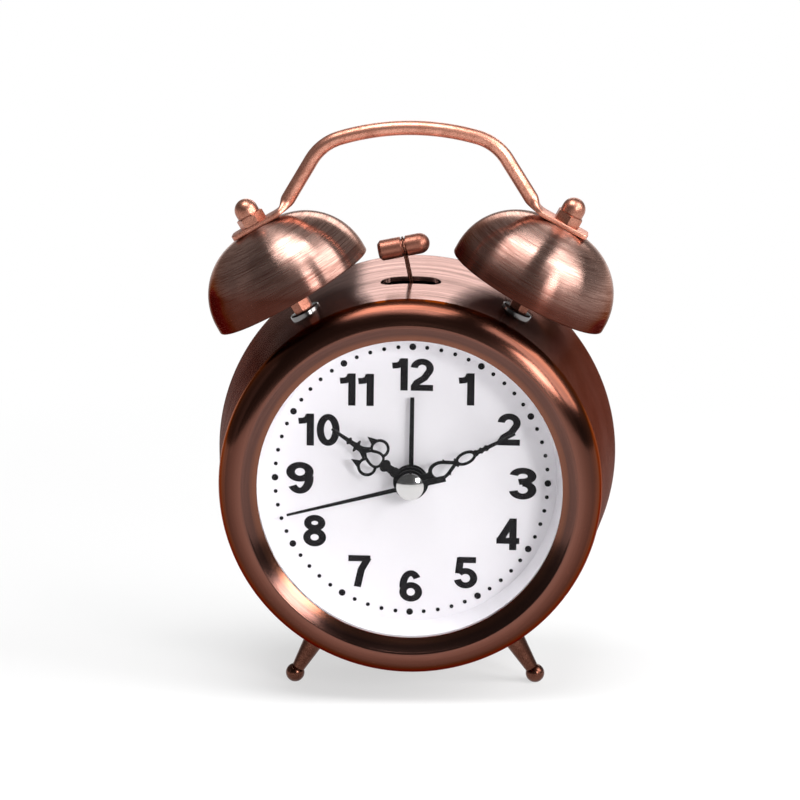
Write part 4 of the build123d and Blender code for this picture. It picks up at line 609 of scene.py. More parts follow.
@dataclass(frozen=True)
class BrushedCopper:
    """Antique copper plate, polished with fine lines that run round an axis, with painted shade along a
    direction.
    """

    name: str
    start: Triple
    axis: Triple
    light: Triple = (0.46, 0.225, 0.17)
    dark: Triple = (0.17, 0.068, 0.05)
    # colour of the painted shade, also used for the dark specks
    shade: Triple = (0.17, 0.058, 0.04)
    edge: Triple = (0.92, 0.78, 0.72)
    # grazing gloss tint where the shade is painted
    edge_shade: Triple = (0.80, 0.50, 0.40)
    # painted reflection: rings of light and dark colour by radius, how much they cover, and how ragged their
    # edges are
    bands: tuple[tuple[float, Triple], ...] = ()
    band_share: float = 0.88
    # direction of the painted shade, and where along it the shade starts and is full
    fade: Triple = (0.0, 0.0, -1.0)
    shade_from: float = -15.0
    shade_to: float = 20.0
    roughness: float = 0.25
    roughness_swing: float = 0.10
    anisotropy: float = 0.85
    line_pitch: float = 0.22
    line_length: float = 3.0
    groove: float = 0.0006
    # how much the painted shade dulls the metal
    patina: float = 0.0
    line_share: float = 0.55
    broad_scale: float = 0.12
    cloud_scale: float = 90.0
    # mottle of the painted shade: the noise span, and the shade's strength across it
    cloud_span: Point = (0.2, 0.6)
    cloud_shade: Point = (0.9, 1.0)
    speck_scale: float = 2600.0
    speck_span: Point = (0.66, 0.74)
    speck_share: float = 0.35
    band_wander: float = 0.25
    brush_turn: float = 0.25

    def material(self) -> Material:
        """Builds the node material: lines vary along the profile and hardly around the axis, and painted
        shade darkens it along a direction.

        Returns:
            The finished material.
        """
        recipe = Recipe(self.name)
        axis = Vector(self.axis).normalized()
        offset = recipe.vector("SUBTRACT", recipe.coordinates, self.start)
        along = recipe.vector("DOT_PRODUCT", offset, tuple(axis), output=1)
        drop = recipe.vector("SCALE", tuple(axis))
        recipe.feed(drop.node.inputs["Scale"], along)
        spoke = recipe.vector("SUBTRACT", offset, drop)
        radius = recipe.vector("LENGTH", spoke, output=1)
        turn = recipe.vector("SCALE", recipe.vector("NORMALIZE", spoke))
        recipe.feed(turn.node.inputs["Scale"], self.line_length)
        climb = recipe.vector("SCALE", tuple(axis))
        pitch = 1 / (self.line_pitch * MM)
        recipe.feed(climb.node.inputs["Scale"], recipe.math("MULTIPLY", along, pitch))
        spot = recipe.vector("ADD", turn, climb)
        lines = recipe.noise(spot, 1.0, 3.0, recipe.math("MULTIPLY", radius, pitch))
        broad = recipe.noise(spot, self.broad_scale, 2.0, recipe.math("MULTIPLY", radius, pitch))
        clouds = recipe.noise(recipe.coordinates, self.cloud_scale, 3.0)
        speck = recipe.noise(recipe.coordinates, self.speck_scale, 1.0)
        speck = recipe.spread(speck, *self.speck_span, 0.0, 1.0)
        tone = recipe.weighed(lines, broad, self.line_share)
        copper = recipe.blend(recipe.spread(tone, *NOISE_SPAN, 0.0, 1.0), self.dark, self.light)
        # painted shade: a mottled mask along a direction that darkens the colour, tints the grazing gloss and
        # dulls the metal
        fall = recipe.vector("DOT_PRODUCT", offset, self.fade, output=1)
        fall = recipe.spread(fall, self.shade_from * MM, self.shade_to * MM, 0.0, 1.0)
        fall = recipe.math("MULTIPLY", fall, recipe.spread(clouds, *self.cloud_span, *self.cloud_shade))
        copper = recipe.blend(fall, copper, self.shade)
        # painted reflection rings by radius, with ragged edges
        if self.bands:
            wander = self.band_wander * MM
            ragged = recipe.math("ADD", radius, recipe.spread(lines, *NOISE_SPAN, -wander, wander))
            copper = recipe.blend(self.band_share, copper, self.banded(recipe, ragged))
        # dark specks, in the painted shade colour
        copper = recipe.blend(recipe.math("MULTIPLY", speck, self.speck_share), copper, self.shade)
        swing = self.roughness_swing / 2
        rough = recipe.spread(tone, *NOISE_SPAN, self.roughness + swing, self.roughness - swing)
        recipe.bump(lines, self.groove)
        recipe.set(
            Base_Color=copper,
            Metallic=recipe.spread(fall, 0.0, 1.0, 1.0, 1.0 - self.patina),
            Roughness=rough,
            Specular_IOR_Level=0.0,
            Specular_Tint=recipe.blend(fall, self.edge, self.edge_shade),
            Anisotropic=self.anisotropy,
            Anisotropic_Rotation=self.brush_turn,
            Tangent=recipe.vector("CROSS_PRODUCT", tuple(axis), offset),
        )
        return recipe.material

    def banded(self, recipe: Recipe, radius: NodeSocket) -> NodeSocket:
        """Paints rings of reflected light and dark by their radius.

        Args:
            recipe: the material in the making.
            radius: distance from the axis, in metres.

        Returns:
            The colour.
        """
        first, last = self.bands[0][0], self.bands[-1][0]
        ramp = recipe.node("ShaderNodeValToRGB")
        recipe.feed(ramp.inputs[0], recipe.spread(radius, first * MM, last * MM, 0.0, 1.0))
        for index, (place, colour) in enumerate(self.bands):
            share = (place - first) / (last - first)
            stops = ramp.color_ramp.elements
            stop = stops[0] if index == 0 else stops[-1] if place == last else stops.new(share)
            stop.position, stop.color = share, (*colour, 1.0)
        return ramp.outputs[0]


@dataclass(frozen=True)
class SpeckledCopper:
    """Matt antique copper plate on small fittings, with dark specks and rubbed high spots."""

    name: str
    light: Triple = (0.84, 0.40, 0.29)
    dark: Triple = (0.36, 0.13, 0.085)
    roughness: float = 0.36
    speck_size: float = 0.24
    relief: float = 0.006
    speck_share: float = 0.6
    cloud_scale: float = 220.0
    worn_span: Point = (0.34, 0.6)
    dull: float = 0.14
    shine: float = 0.08

    def material(self) -> Material:
        """Builds the node material: worn high spots over dark specks.

        Returns:
            The finished material.
        """
        recipe = Recipe(self.name)
        fine = recipe.noise(recipe.coordinates, 1 / (self.speck_size * MM), 3.0)
        clouds = recipe.noise(recipe.coordinates, self.cloud_scale, 3.0)
        worn = recipe.weighed(fine, clouds, self.speck_share)
        rough = recipe.spread(worn, *NOISE_SPAN, self.roughness + self.dull, self.roughness - self.shine)
        recipe.bump(fine, self.relief)
        recipe.set(
            Base_Color=recipe.blend(recipe.spread(worn, *self.worn_span, 0.0, 1.0), self.dark, self.light),
            Metallic=1.0,
            Roughness=rough,
        )
        return recipe.material


@dataclass(frozen=True)
class Moulded:
    """A plain finish with a fine grain: plastic, paint, card, steel or brass."""

    name: str
    colour: Triple
    metallic: float = 0.0
    roughness: float = 0.4
    grain: float = 0.4
    depth: float = 0.004
    contrast: float = 0.1
    gloss: float = 0.5
    cloud_scale: float = 120.0
    cloud_span: Point = (0.35, 0.65)
    roughness_swing: float = 0.12

    def material(self) -> Material:
        """Builds the node material: colour and gloss drift with a cloud and a grain pattern.

        Returns:
            The finished material.
        """
        recipe = Recipe(self.name)
        grain = recipe.noise(recipe.coordinates, 1 / (self.grain * MM), 3.0)
        clouds = recipe.noise(recipe.coordinates, self.cloud_scale, 2.0)
        deep = tuple(c * (1 - self.contrast) for c in self.colour)
        swing = self.roughness * self.roughness_swing
        recipe.bump(grain, self.depth)
        recipe.set(
            Base_Color=recipe.blend(recipe.spread(clouds, *self.cloud_span, 0.0, 1.0), deep, self.colour),
            Metallic=self.metallic,
            Specular_IOR_Level=self.gloss,
            Roughness=recipe.spread(grain, *NOISE_SPAN, self.roughness + swing, self.roughness - swing),
        )
        return recipe.material


@dataclass(frozen=True)
class ClearGlass:
    """Clear flat glass, seen only by the light that glances off it."""

    name: str
    tint: Triple = (0.05, 0.055, 0.055)
    presence: float = 0.04
    smear_scale: float = 60.0
    smear_span: Point = (0.4, 0.7)
    smear_roughness: Point = (0.01, 0.05)

    def material(self) -> Material:
        """Builds the node material: almost open, with a faint smear in its gloss.

        Returns:
            The finished material.
        """
        recipe = Recipe(self.name)
        smear = recipe.noise(recipe.coordinates, self.smear_scale, 2.0)
        rough = recipe.spread(smear, *self.smear_span, *self.smear_roughness)
        recipe.set(Base_Color=self.tint, Alpha=self.presence, Roughness=rough)
        return recipe.material


Finish = BrushedCopper | SpeckledCopper | Moulded | ClearGlass

TRIM = SpeckledCopper("trim_copper")
# a darker copy of the trim copper: painted shade on the feet, the hammer's wire and the rear foot
FOOT = SpeckledCopper("foot_copper", (0.17, 0.070, 0.047), (0.06, 0.02, 0.013), 0.23)
# a darker copy of the trim copper: painted shade on the bell posts and the hammer's head
HAMMER = SpeckledCopper("hammer_copper", (0.40, 0.165, 0.115), (0.16, 0.055, 0.036), 0.42)
NUT = SpeckledCopper("nut_copper", (0.62, 0.29, 0.205), (0.24, 0.088, 0.058), 0.34, relief=0.002)
# a dark copy of the zinc steel: painted shade on the washers under the posts
WASHER = Moulded("washer_steel", (0.21, 0.20, 0.20), metallic=1.0, roughness=0.2, grain=0.25)
INK = Moulded("dial_ink", (0.012, 0.010, 0.012), roughness=0.6, grain=0.15, depth=0.002, gloss=0.08)
CHROME = Moulded("cap_chrome", (0.82, 0.80, 0.80), metallic=1.0, roughness=0.12, grain=2.0, depth=0.001)
SLOT_FINISHES: dict[str, Finish] = {
    "trim_copper": TRIM,
    "zinc_steel": Moulded("zinc_steel", (0.44, 0.43, 0.44), metallic=1.0, roughness=0.26, grain=0.25),
    "dial_white": Moulded(
        "dial_card", (0.93, 0.905, 0.945), roughness=0.55, grain=0.12, depth=0.001, contrast=0.02
    ),
    "ring_white": Moulded(
        "ring_white", (0.86, 0.84, 0.88), roughness=0.4, grain=0.3, depth=0.001, contrast=0.03
    ),
    "clear_glass": ClearGlass("clear_glass"),
    "hand_black": Moulded(
        "hand_black", (0.008, 0.007, 0.008), roughness=0.4, grain=0.1, depth=0.003, gloss=0.12
    ),
    "cap_chrome": CHROME,
    "cover_black": Moulded("cover_black", (0.018, 0.018, 0.019), roughness=0.5, grain=0.18, depth=0.03),
    "knob_black": Moulded("knob_black", (0.014, 0.014, 0.015), roughness=0.3, grain=0.4),
    "frame_plastic": Moulded("frame_plastic", (0.80, 0.79, 0.75), roughness=0.5, grain=0.3),
    "wheel_plastic": Moulded("wheel_plastic", (0.82, 0.79, 0.70), roughness=0.3),
    "train_brass": Moulded("train_brass", (0.72, 0.52, 0.22), metallic=1.0, roughness=0.28, grain=0.15),
    "board_green": Moulded("board_green", (0.03, 0.18, 0.07), roughness=0.35),
    "chip_black": Moulded("chip_black", (0.015, 0.015, 0.016), roughness=0.5),
    "coil_wire": Moulded("coil_wire", (0.62, 0.27, 0.13), metallic=1.0, roughness=0.35, grain=0.12),
    "cell_wrap": Moulded("cell_wrap", (0.10, 0.10, 0.115), metallic=0.6, roughness=0.25),
    "magnet_grey": Moulded("magnet_grey", (0.16, 0.16, 0.17), metallic=0.7, roughness=0.5),
}


@cache
def material_of(finish: Finish) -> Material:
    """Builds a finish's material the first time that it is asked for."""
    return finish.material()


def dressed(piece: Object, finish: Finish, slot: str, body: str, *nodes: str) -> Object:
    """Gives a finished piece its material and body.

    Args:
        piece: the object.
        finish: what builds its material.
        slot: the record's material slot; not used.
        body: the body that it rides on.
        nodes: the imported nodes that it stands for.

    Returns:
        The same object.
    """
    piece.data.materials.clear()
    piece.data.materials.append(material_of(finish))
    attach(piece, body)
    if nodes:
        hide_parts(*nodes)
    log.info("%s on %s", piece.name, body)
    return piece


# The clock's assemblies


@dataclass
class Case:
    """The drum with its hammer slot, and the bezel in front of it."""

    front: float = -6.0
    rear: float = 31.0
    front_radius: float = 41.6
    rear_radius: float = 44.97
    rear_round: float = 3.0
    front_round: float = 0.5
    wall: float = 1.0
    flange_radius: float = 38.0
    lip_radius: float = 41.3
    slot_length: float = 13.4
    slot_width: float = 5.6
    slot_depth: float = 9.0
    slot_reach: float = 8.0
    bezel_inner: Point = (33.3, -9.4)
    bezel_crest: tuple[Point, ...] = (
        (36.1, -10.75), (37.0, -11.0), (39.4, -10.15), (41.3, -8.3), (41.9, -6.0),
    )
    bezel_foot: tuple[Point, ...] = ((40.4, -6.0), (39.6, -7.6), (34.4, -7.6), (34.4, -9.0), (33.3, -9.0))
    # painted reflection: the bezel's light and dark reflection rings, as colours by radius
    bezel_bands: tuple[tuple[float, Triple], ...] = (
        (33.3, (0.20, 0.08, 0.050)), (34.2, (0.17, 0.07, 0.045)), (34.9, (0.09, 0.046, 0.038)),
        (36.2, (0.11, 0.055, 0.045)), (37.0, (0.19, 0.078, 0.056)), (38.6, (0.110, 0.040, 0.027)),
        (40.0, (0.060, 0.021, 0.014)), (41.0, (0.13, 0.040, 0.022)), (41.9, (0.18, 0.055, 0.029)),
    )
    faces_round: int = 192

    def build(self) -> None:
        """Models and dresses both pieces."""
        self.shell()
        self.bezel()

    def finish(self, name: str, **changes: object) -> BrushedCopper:
        """Copper brushed round the dial's axis."""
        return BrushedCopper(name, tuple(dial_centre()), (0, 1, 0), **changes)

    def shell(self) -> Object:
        """Turns the drum's wall and cuts the slot for the hammer's wire.

        Returns:
            The dressed drum.
        """
        round_start, flat = self.rear - self.rear_round, self.rear_radius - self.rear_round
        nose, inner_round = self.front_round, self.rear_round - self.wall
        outline = (
            Outline()
            .line((self.flange_radius, self.front))
            .arc((self.front_radius - nose, self.front + nose), nose, -90, 0, 5)
            .run((self.rear_radius, round_start), 30)
            .arc((flat, round_start), self.rear_round, 0, 90, 10)
            .line((self.lip_radius, self.rear), (self.lip_radius, self.rear - self.wall))
            .arc((flat, round_start), inner_round, 90, 0, 6)
            .run((self.front_radius - self.wall, self.front + self.wall), 12)
            .line((self.flange_radius, self.front + self.wall), (self.flange_radius, self.front))
        )
        shell = placed(turned("case_shell", outline, self.faces_round), drum_place())
        cutter = self.slot_cutter()
        applied(shell, "BOOLEAN", operation="DIFFERENCE", object=cutter, solver="EXACT")
        bpy.data.objects.remove(cutter)
        smoothed(shell)
        # painted shade: the copper darkens and dulls downwards from near the drum's top, leaving only the top
        # light
        finish = self.finish(
            "case_copper", light=(0.52, 0.31, 0.27), dark=(0.19, 0.088, 0.072), shade=(0.09, 0.024, 0.013),
            edge=(0.95, 0.86, 0.83), edge_shade=(0.30, 0.095, 0.052), shade_from=-41.0, shade_to=-26.0,
            roughness=0.22, patina=0.5,
        )
        return dressed(shell, finish, "polished_copper", "case", "case_body")

    def slot_cutter(self) -> Object:
        """Models the slot as a block: a round bar whose two halves are drawn apart.

        Returns:
            The block to cut with.
        """
        clear_selection()
        bpy.ops.mesh.primitive_cylinder_add(
            vertices=SMALL_FACES, radius=self.slot_width / 2 * MM, depth=self.slot_reach * MM,
            location=clock_point(0, self.slot_depth, self.front_radius),
        )
        cutter = named("slot_cutter")
        bpy.ops.object.transform_apply(location=True, rotation=True, scale=True)
        stretch = (self.slot_length - self.slot_width) / 2 * MM
        for side in Side:
            bpy.ops.object.mode_set(mode="EDIT")
            bpy.ops.mesh.select_all(action="DESELECT")
            bpy.ops.object.mode_set(mode="OBJECT")
            for vertex in cutter.data.vertices:
                vertex.select = vertex.co.x * side.value > 0
            bpy.ops.object.mode_set(mode="EDIT")
            bpy.ops.transform.translate(value=(side.value * stretch, 0, 0))
            bpy.ops.object.mode_set(mode="OBJECT")
        return cutter

    def bezel(self) -> Object:
        """Turns the bezel: a bevel up from the glass, a rounded crest, and a fall to the case.

        Returns:
            The dressed bezel.
        """
        outline = (
            Outline()
            .line(self.bezel_inner)
            .run(self.bezel_crest[0], 6)
            .curve(list(self.bezel_crest), 10)
            .line(*self.bezel_foot, self.bezel_inner)
        )
        # painted shade: the bezel darkens towards its bottom, under the painted reflection rings
        finish = self.finish(
            "bezel_copper", light=(0.42, 0.19, 0.145), shade=(0.17, 0.058, 0.041), bands=self.bezel_bands,
            edge=(0.68, 0.39, 0.31), edge_shade=(0.48, 0.21, 0.14),
            roughness=0.18, roughness_swing=0.12, anisotropy=0.8, line_pitch=0.3,
        )
        bezel = smoothed(placed(turned("bezel_ring", outline, self.faces_round), drum_place()))
        return dressed(bezel, finish, "polished_copper", "case", "front_bezel")


@dataclass
class Bells:
    """Two bells on leaning axes, each with its post, washer and cap nut."""

    lean: float = 29.0
    crossing: float = -5.4
    depth: float = 7.0
    rim: float = 52.9
    rim_radius: float = 18.49
    skirt_end: float = 54.6
    shoulder_round: float = 14.3
    crown_round: float = 30.0
    wall: float = 0.8
    flat_radius: float = 3.8
    washer_radius: float = 3.5
    washer_inner: float = 1.6
    washer_bottom: float = 46.9
    washer_top: float = 48.45
    washer_round: float = 0.45
    post_across: float = 4.0
    post_chamfer: float = 0.25
    stud_radius: float = 1.5
    stud_round: float = 0.3
    stud_length: float = 2.5
    stud_overlap: float = 0.5
    stud_faces: int = 32
    nut_across: float = 5.5
    nut_hex: float = 2.05
    nut_chamfer: float = 0.32
    nut_height: float = 5.8
    dome_radius: float = 2.58
    dome_overlap: float = 0.4
    dome_edge: float = 0.25
    neck_inset: float = 0.26
    neck_height: float = 0.12
    nut_turns: dict[Side, float] = field(default_factory=lambda: {Side.LEFT: 27.0, Side.RIGHT: 2.0})
    tab_thickness: float = 1.2
    # painted shade: how far it leans to each bell's outer side, and where along the axis it starts and is
    # full
    outer_shade: dict[Side, float] = field(default_factory=lambda: {Side.LEFT: 0.45, Side.RIGHT: 0.0})
    shade_rise: float = 13.0
    shade_margin: float = 2.0
    faces_round: int = 192

    @property
    def crown_centre(self) -> float:
        """Distance along the axis of the crown's centre."""
        offset = self.crown_round - self.shoulder_round
        return self.skirt_end - sqrt(offset**2 - (self.rim_radius - self.shoulder_round) ** 2)

    @property
    def top(self) -> float:
        """Distance along the axis of the flat on the bell's crown."""
        return self.crown_centre + sqrt(self.crown_round**2 - self.flat_radius**2)

    def start(self) -> Vector:
        """Point where the two axes cross."""
        return clock_point(0, self.depth, self.crossing)

    def build(self) -> None:
        """Models each piece once, standing on its own axis, and sets a dressed copy on either side."""
        models = dome, post, nut, washer = self.dome(), self.post(), self.cap_nut(), self.washer()
        washers = []
        for side in Side:
            word, place = side.word, spoke_place(side.value * self.lean, self.start())
            side_dome = placed(copied(dome, f"{word}_bell_dome"), place)
            dressed(side_dome, self.finish(side), "bell_copper", "case", f"{word}_bell")
            side_post = placed(copied(post, f"{word}_post"), place)
            dressed(side_post, HAMMER, "trim_copper", "case", f"{word}_bell_post")
            turn = Matrix.Rotation(radians(self.nut_turns[side]), 4, "Z")
            side_nut = placed(copied(nut, f"{word}_cap"), place @ turn)
            dressed(side_nut, NUT, "trim_copper", "case", f"{word}_cap_nut")
            washers.append(placed(copied(washer, "post_washer_rings"), place))
        for model in models:
            bpy.data.objects.remove(model)
        dressed(joined(*washers), WASHER, "zinc_steel", "case", "post_washers")

    def finish(self, side: Side) -> BrushedCopper:
        """Copper brushed round one bell's axis, with painted shade towards the rim and towards the bell's
        outer side where a side share is set.

        Args:
            side: which bell it is for.

        Returns:
            The bell's finish.
        """
        lean = radians(self.lean)
        axis = Vector((side.value * sin(lean), 0.0, cos(lean)))
        outward = Vector((side.value * cos(lean), 0.0, -sin(lean)))
        # painted shade runs down the axis to the rim, and out to the bell's side by its side share
        fade = outward * self.outer_shade[side] - axis
        return BrushedCopper(
            f"{side.word}_bell_copper", tuple(self.start()), tuple(axis), light=(0.78, 0.51, 0.43),
            dark=(0.115, 0.040, 0.028), shade=(0.080, 0.024, 0.016), edge=(0.92, 0.76, 0.70),
            edge_shade=(0.38, 0.22, 0.18), fade=tuple(fade),
            shade_from=-self.skirt_end - self.shade_rise, shade_to=-self.rim - self.shade_margin,
            roughness=0.27, anisotropy=0.95, patina=0.16,
        )

    def dome(self) -> Object:
        """Turns a bell: skirt, shoulder and crown outside, the same less the wall inside.

        Returns:
            The bell, on the Z axis.
        """
        across = self.rim_radius - self.shoulder_round
        join = degrees(acos(across / (self.crown_round - self.shoulder_round)))
        edge, lip = self.rim, self.wall / 2
        crown, shoulder = (0.0, self.crown_centre), (across, self.skirt_end)
        outer_flat = degrees(acos(self.flat_radius / self.crown_round))
        inner_crown = self.crown_round - self.wall
        inner_flat = degrees(acos(self.flat_radius / inner_crown))
        outline = (
            Outline()
            .arc((self.rim_radius - lip, edge + lip), lip, -90, 0, 5)
            .run((self.rim_radius, self.skirt_end), 3)
            .arc(shoulder, self.shoulder_round, 0, join, 26)
            .arc(crown, self.crown_round, join, outer_flat, 10)
            .line((self.stud_radius, self.top), (self.stud_radius, self.top - self.wall))
            .arc(crown, inner_crown, inner_flat, join, 6)
            .arc(shoulder, self.shoulder_round - self.wall, join, 0, 14)
            .arc((self.rim_radius - lip, edge + lip), lip, 180, 270, 5)
        )
        return smoothed(turned("bell_model", outline, self.faces_round))

    def post(self) -> Object:
        """Models the hexagonal post between washer and bell, with its stud.

        Returns:
            The post, on the Z axis.
        """
        height = self.crown_centre + self.crown_round - self.wall - self.washer_top
        radius, rounding = self.stud_radius, self.stud_round
        stud = (
            Outline()
            .line((0, -self.stud_length))
            .arc((radius - rounding, rounding - self.stud_length), rounding, -90, 0, 3)
            .line((radius, self.stud_overlap), (0, self.stud_overlap))
        )
        post = hexagon("post_model", self.post_across, height, self.post_chamfer)
        joined(post, turned("stud", stud, self.stud_faces))
        placed(post, Matrix.Translation((0, 0, self.washer_top * MM)))
        return smoothed(post, Smoothness.CRISP)

    def washer(self) -> Object:
        """Turns a bright washer, as it lies under a post.

        Returns:
            The washer, on the Z axis.
        """
        rounding, radius = self.washer_round, self.washer_radius
        outline = (
            Outline()
            .line((self.washer_inner, self.washer_bottom), (radius, self.washer_bottom))
            .arc((radius - rounding, self.washer_top - rounding), rounding, 0, 90, 5)
            .line((self.washer_inner, self.washer_top), (self.washer_inner, self.washer_bottom))
        )
        return smoothed(turned("washer_model", outline, SMALL_FACES))

    def cap_nut(self) -> Object:
        """Models a cap nut: hexagon, a narrow neck and a dome.

        Returns:
            The nut, on the Z axis.
        """
        radius, level = self.dome_radius, self.nut_hex
        waist = radius - self.neck_inset
        dome = (
            Outline()
            .line((0, level - self.dome_overlap), (waist, level - self.dome_overlap))
            .line((waist, level + self.neck_height), (radius, level + self.dome_edge))
            .arc((0, self.nut_height - radius), radius, 0, 90, 14)
        )
        nut = hexagon("nut_model", self.nut_across, self.nut_hex, self.nut_chamfer)
        joined(nut, turned("dome", dome, SMALL_FACES))
        seat = Matrix.Translation((0, 0, (self.top + self.tab_thickness) * MM))
        return smoothed(placed(nut, seat))


@dataclass
class Handle:
    """The carrying handle: one wire, bent to an arch, with its ends hammered flat under the cap nuts."""

    bells: Bells
    wire_radius: float = 1.58
    top: float = 79.18
    bend: Point = (19.05, 73.73)
    leg_end: Point = (26.8, 61.0)
    arch_round: float = 53.5
    bend_round: float = 11.0
    foot_round: float = 7.0
    tab_half: Point = (3.2, 0.6)
    tab_inner: float = -6.2
    tab_outer: float = 5.4
    taper: float = 3.4
    squareness: float = 0.72
    tip_round: float = 0.8
    section_points: int = 40
    stations: int = 240

    def build(self) -> Object:
        """Extrudes a bar ring by ring, then lays each ring on the bent route with its own section.

        Returns:
            The dressed handle.
        """
        path = self.route()
        clear_selection()
        bpy.ops.mesh.primitive_circle_add(vertices=self.section_points, radius=1.0, fill_type="NGON")
        handle = named("handle_wire")
        bpy.ops.object.mode_set(mode="EDIT")
        bpy.ops.mesh.select_all(action="SELECT")
        for _ in range(self.stations):
            bpy.ops.mesh.extrude_region_move(TRANSFORM_OT_translate={"value": (0, 0, 1)})
        closed_up()
        for vertex in handle.data.vertices:
            distance = path.length * vertex.co.z / self.stations
            vertex.co = self.laid(path, distance, atan2(vertex.co.y, vertex.co.x))
        select_only(handle)
        bpy.ops.object.mode_set(mode="EDIT")
        closed_up()
        smoothed(handle, Smoothness.TURNED)
        return dressed(handle, TRIM, "trim_copper", "case", "carry_handle")

    def tab_point(self, across: float) -> Point:
        """A point of the right tab's middle, at a distance across from the bell's axis.

        Args:
            across: millimetres outwards from the axis.

        Returns:
            The point, across and up from the dial's centre.
        """
        lean = radians(self.bells.lean)
        along = self.bells.top + self.tab_half[1]
        return (
            along * sin(lean) + across * cos(lean),
            self.bells.crossing + along * cos(lean) - across * sin(lean),
        )

    def route(self) -> BentPath:
        """Middle line from the left tab's end over the arch to the right tab's end.

        Returns:
            The route.
        """
        right = [self.bend, self.knee(), self.tab_point(self.tab_outer)]
        left = [(-x, height) for x, height in reversed(right)]
        rounds = [self.foot_round, self.bend_round, self.arch_round, self.bend_round, self.foot_round]
        return BentPath([*left, (0.0, self.top), *right], rounds)

    def knee(self) -> Point:
        """Where the leg's line meets the tab's line.

        Returns:
            The point, across and up from the dial's centre.
        """
        start, way = Vector(self.bend), Vector(self.leg_end) - Vector(self.bend)
        tab, run = Vector(self.tab_point(0)), Vector(self.tab_point(1)) - Vector(self.tab_point(0))
        share = (tab - start).cross(run) / way.cross(run)
        return tuple(start + way * share)

    def laid(self, path: BentPath, distance: float, angle: float) -> Vector:
        """Places one point of the handle's surface.

        Args:
            path: the middle line.
            distance: length along it.
            angle: direction round the section, in radians.

        Returns:
            The point in metres.
        """
        spot, way = path.at(distance)
        end = min(distance, path.length - distance)
        flat_end = self.tab_outer - self.tab_inner
        flat = 1 - min(max((end - flat_end) / self.taper, 0.0), 1.0)
        flat = flat * flat * (3 - 2 * flat)
        width = self.wire_radius + (self.tab_half[0] - self.wire_radius) * flat
        thick = self.wire_radius + (self.tab_half[1] - self.wire_radius) * flat
        if end < self.tip_round:
            width += sqrt(self.tip_round**2 - (self.tip_round - end) ** 2) - self.tip_round
        power = 1 - self.squareness * flat
        across, rise = cos(angle), sin(angle)
        across = abs(across) ** power * (1 if across > 0 else -1)
        rise = abs(rise) ** power * (1 if rise > 0 else -1)
        normal = Vector((-way.y, way.x))
        flank = spot + normal * (rise * thick)
        return clock_point(flank.x, self.bells.depth + across * width, flank.y)


@dataclass
class Feet:
    """Two tapered peg feet with ball ends in front, and a short stud at the rear."""

    lean: float = 30.2
    depth: float = 7.0
    ball_radius: float = 2.1
    flat: float = 0.15
    top_radius: float = 2.45
    neck_radius: float = 1.45
    collar_end: float = 43.4
    base: float = 41.6

    def build(self) -> None:
        """Models one peg and sets a dressed copy on either side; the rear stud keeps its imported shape."""
        peg = self.peg()
        for side in Side:
            place = spoke_place(side.value * (180 - self.lean), clock_point(0, self.depth, 0))
            foot = self.levelled(placed(copied(peg, f"{side.word}_peg_foot"), place))
            dressed(foot, FOOT, "trim_copper", "case", f"{side.word}_foot")
        bpy.data.objects.remove(peg)

    def peg(self) -> Object:
        """Turns a tapered peg with its ball end, along its own axis from the dial's centre.

        Returns:
            The peg, on the Z axis.
        """
        reach = (dial_centre().z / MM - self.ball_radius + self.flat) / cos(radians(self.lean))
        neck_angle = degrees(acos(self.neck_radius / self.ball_radius))
        outline = (
            Outline()
            .line((0, self.base), (self.top_radius, self.base))
            .run((self.top_radius, self.collar_end), 2)
            .run((self.neck_radius, reach - self.ball_radius * sin(radians(neck_angle))), 6)
            .arc((0, reach), self.ball_radius, -neck_angle, 90, 24)
        )
        return turned("peg_model", outline, SMALL_FACES)

    def levelled(self, foot: Object) -> Object:
        """Cuts the ball's small flat on the ground.

        Args:
            foot: a placed peg.

        Returns:
            The same foot, cut.
        """
        select_only(foot)
        bpy.ops.object.mode_set(mode="EDIT")
        bpy.ops.mesh.select_all(action="SELECT")
        bpy.ops.mesh.bisect(
            plane_co=(0, 0, 0), plane_no=(0, 0, 1), use_fill=True, clear_inner=True, threshold=CUT_TOLERANCE
        )
        closed_up()
        return smoothed(foot)


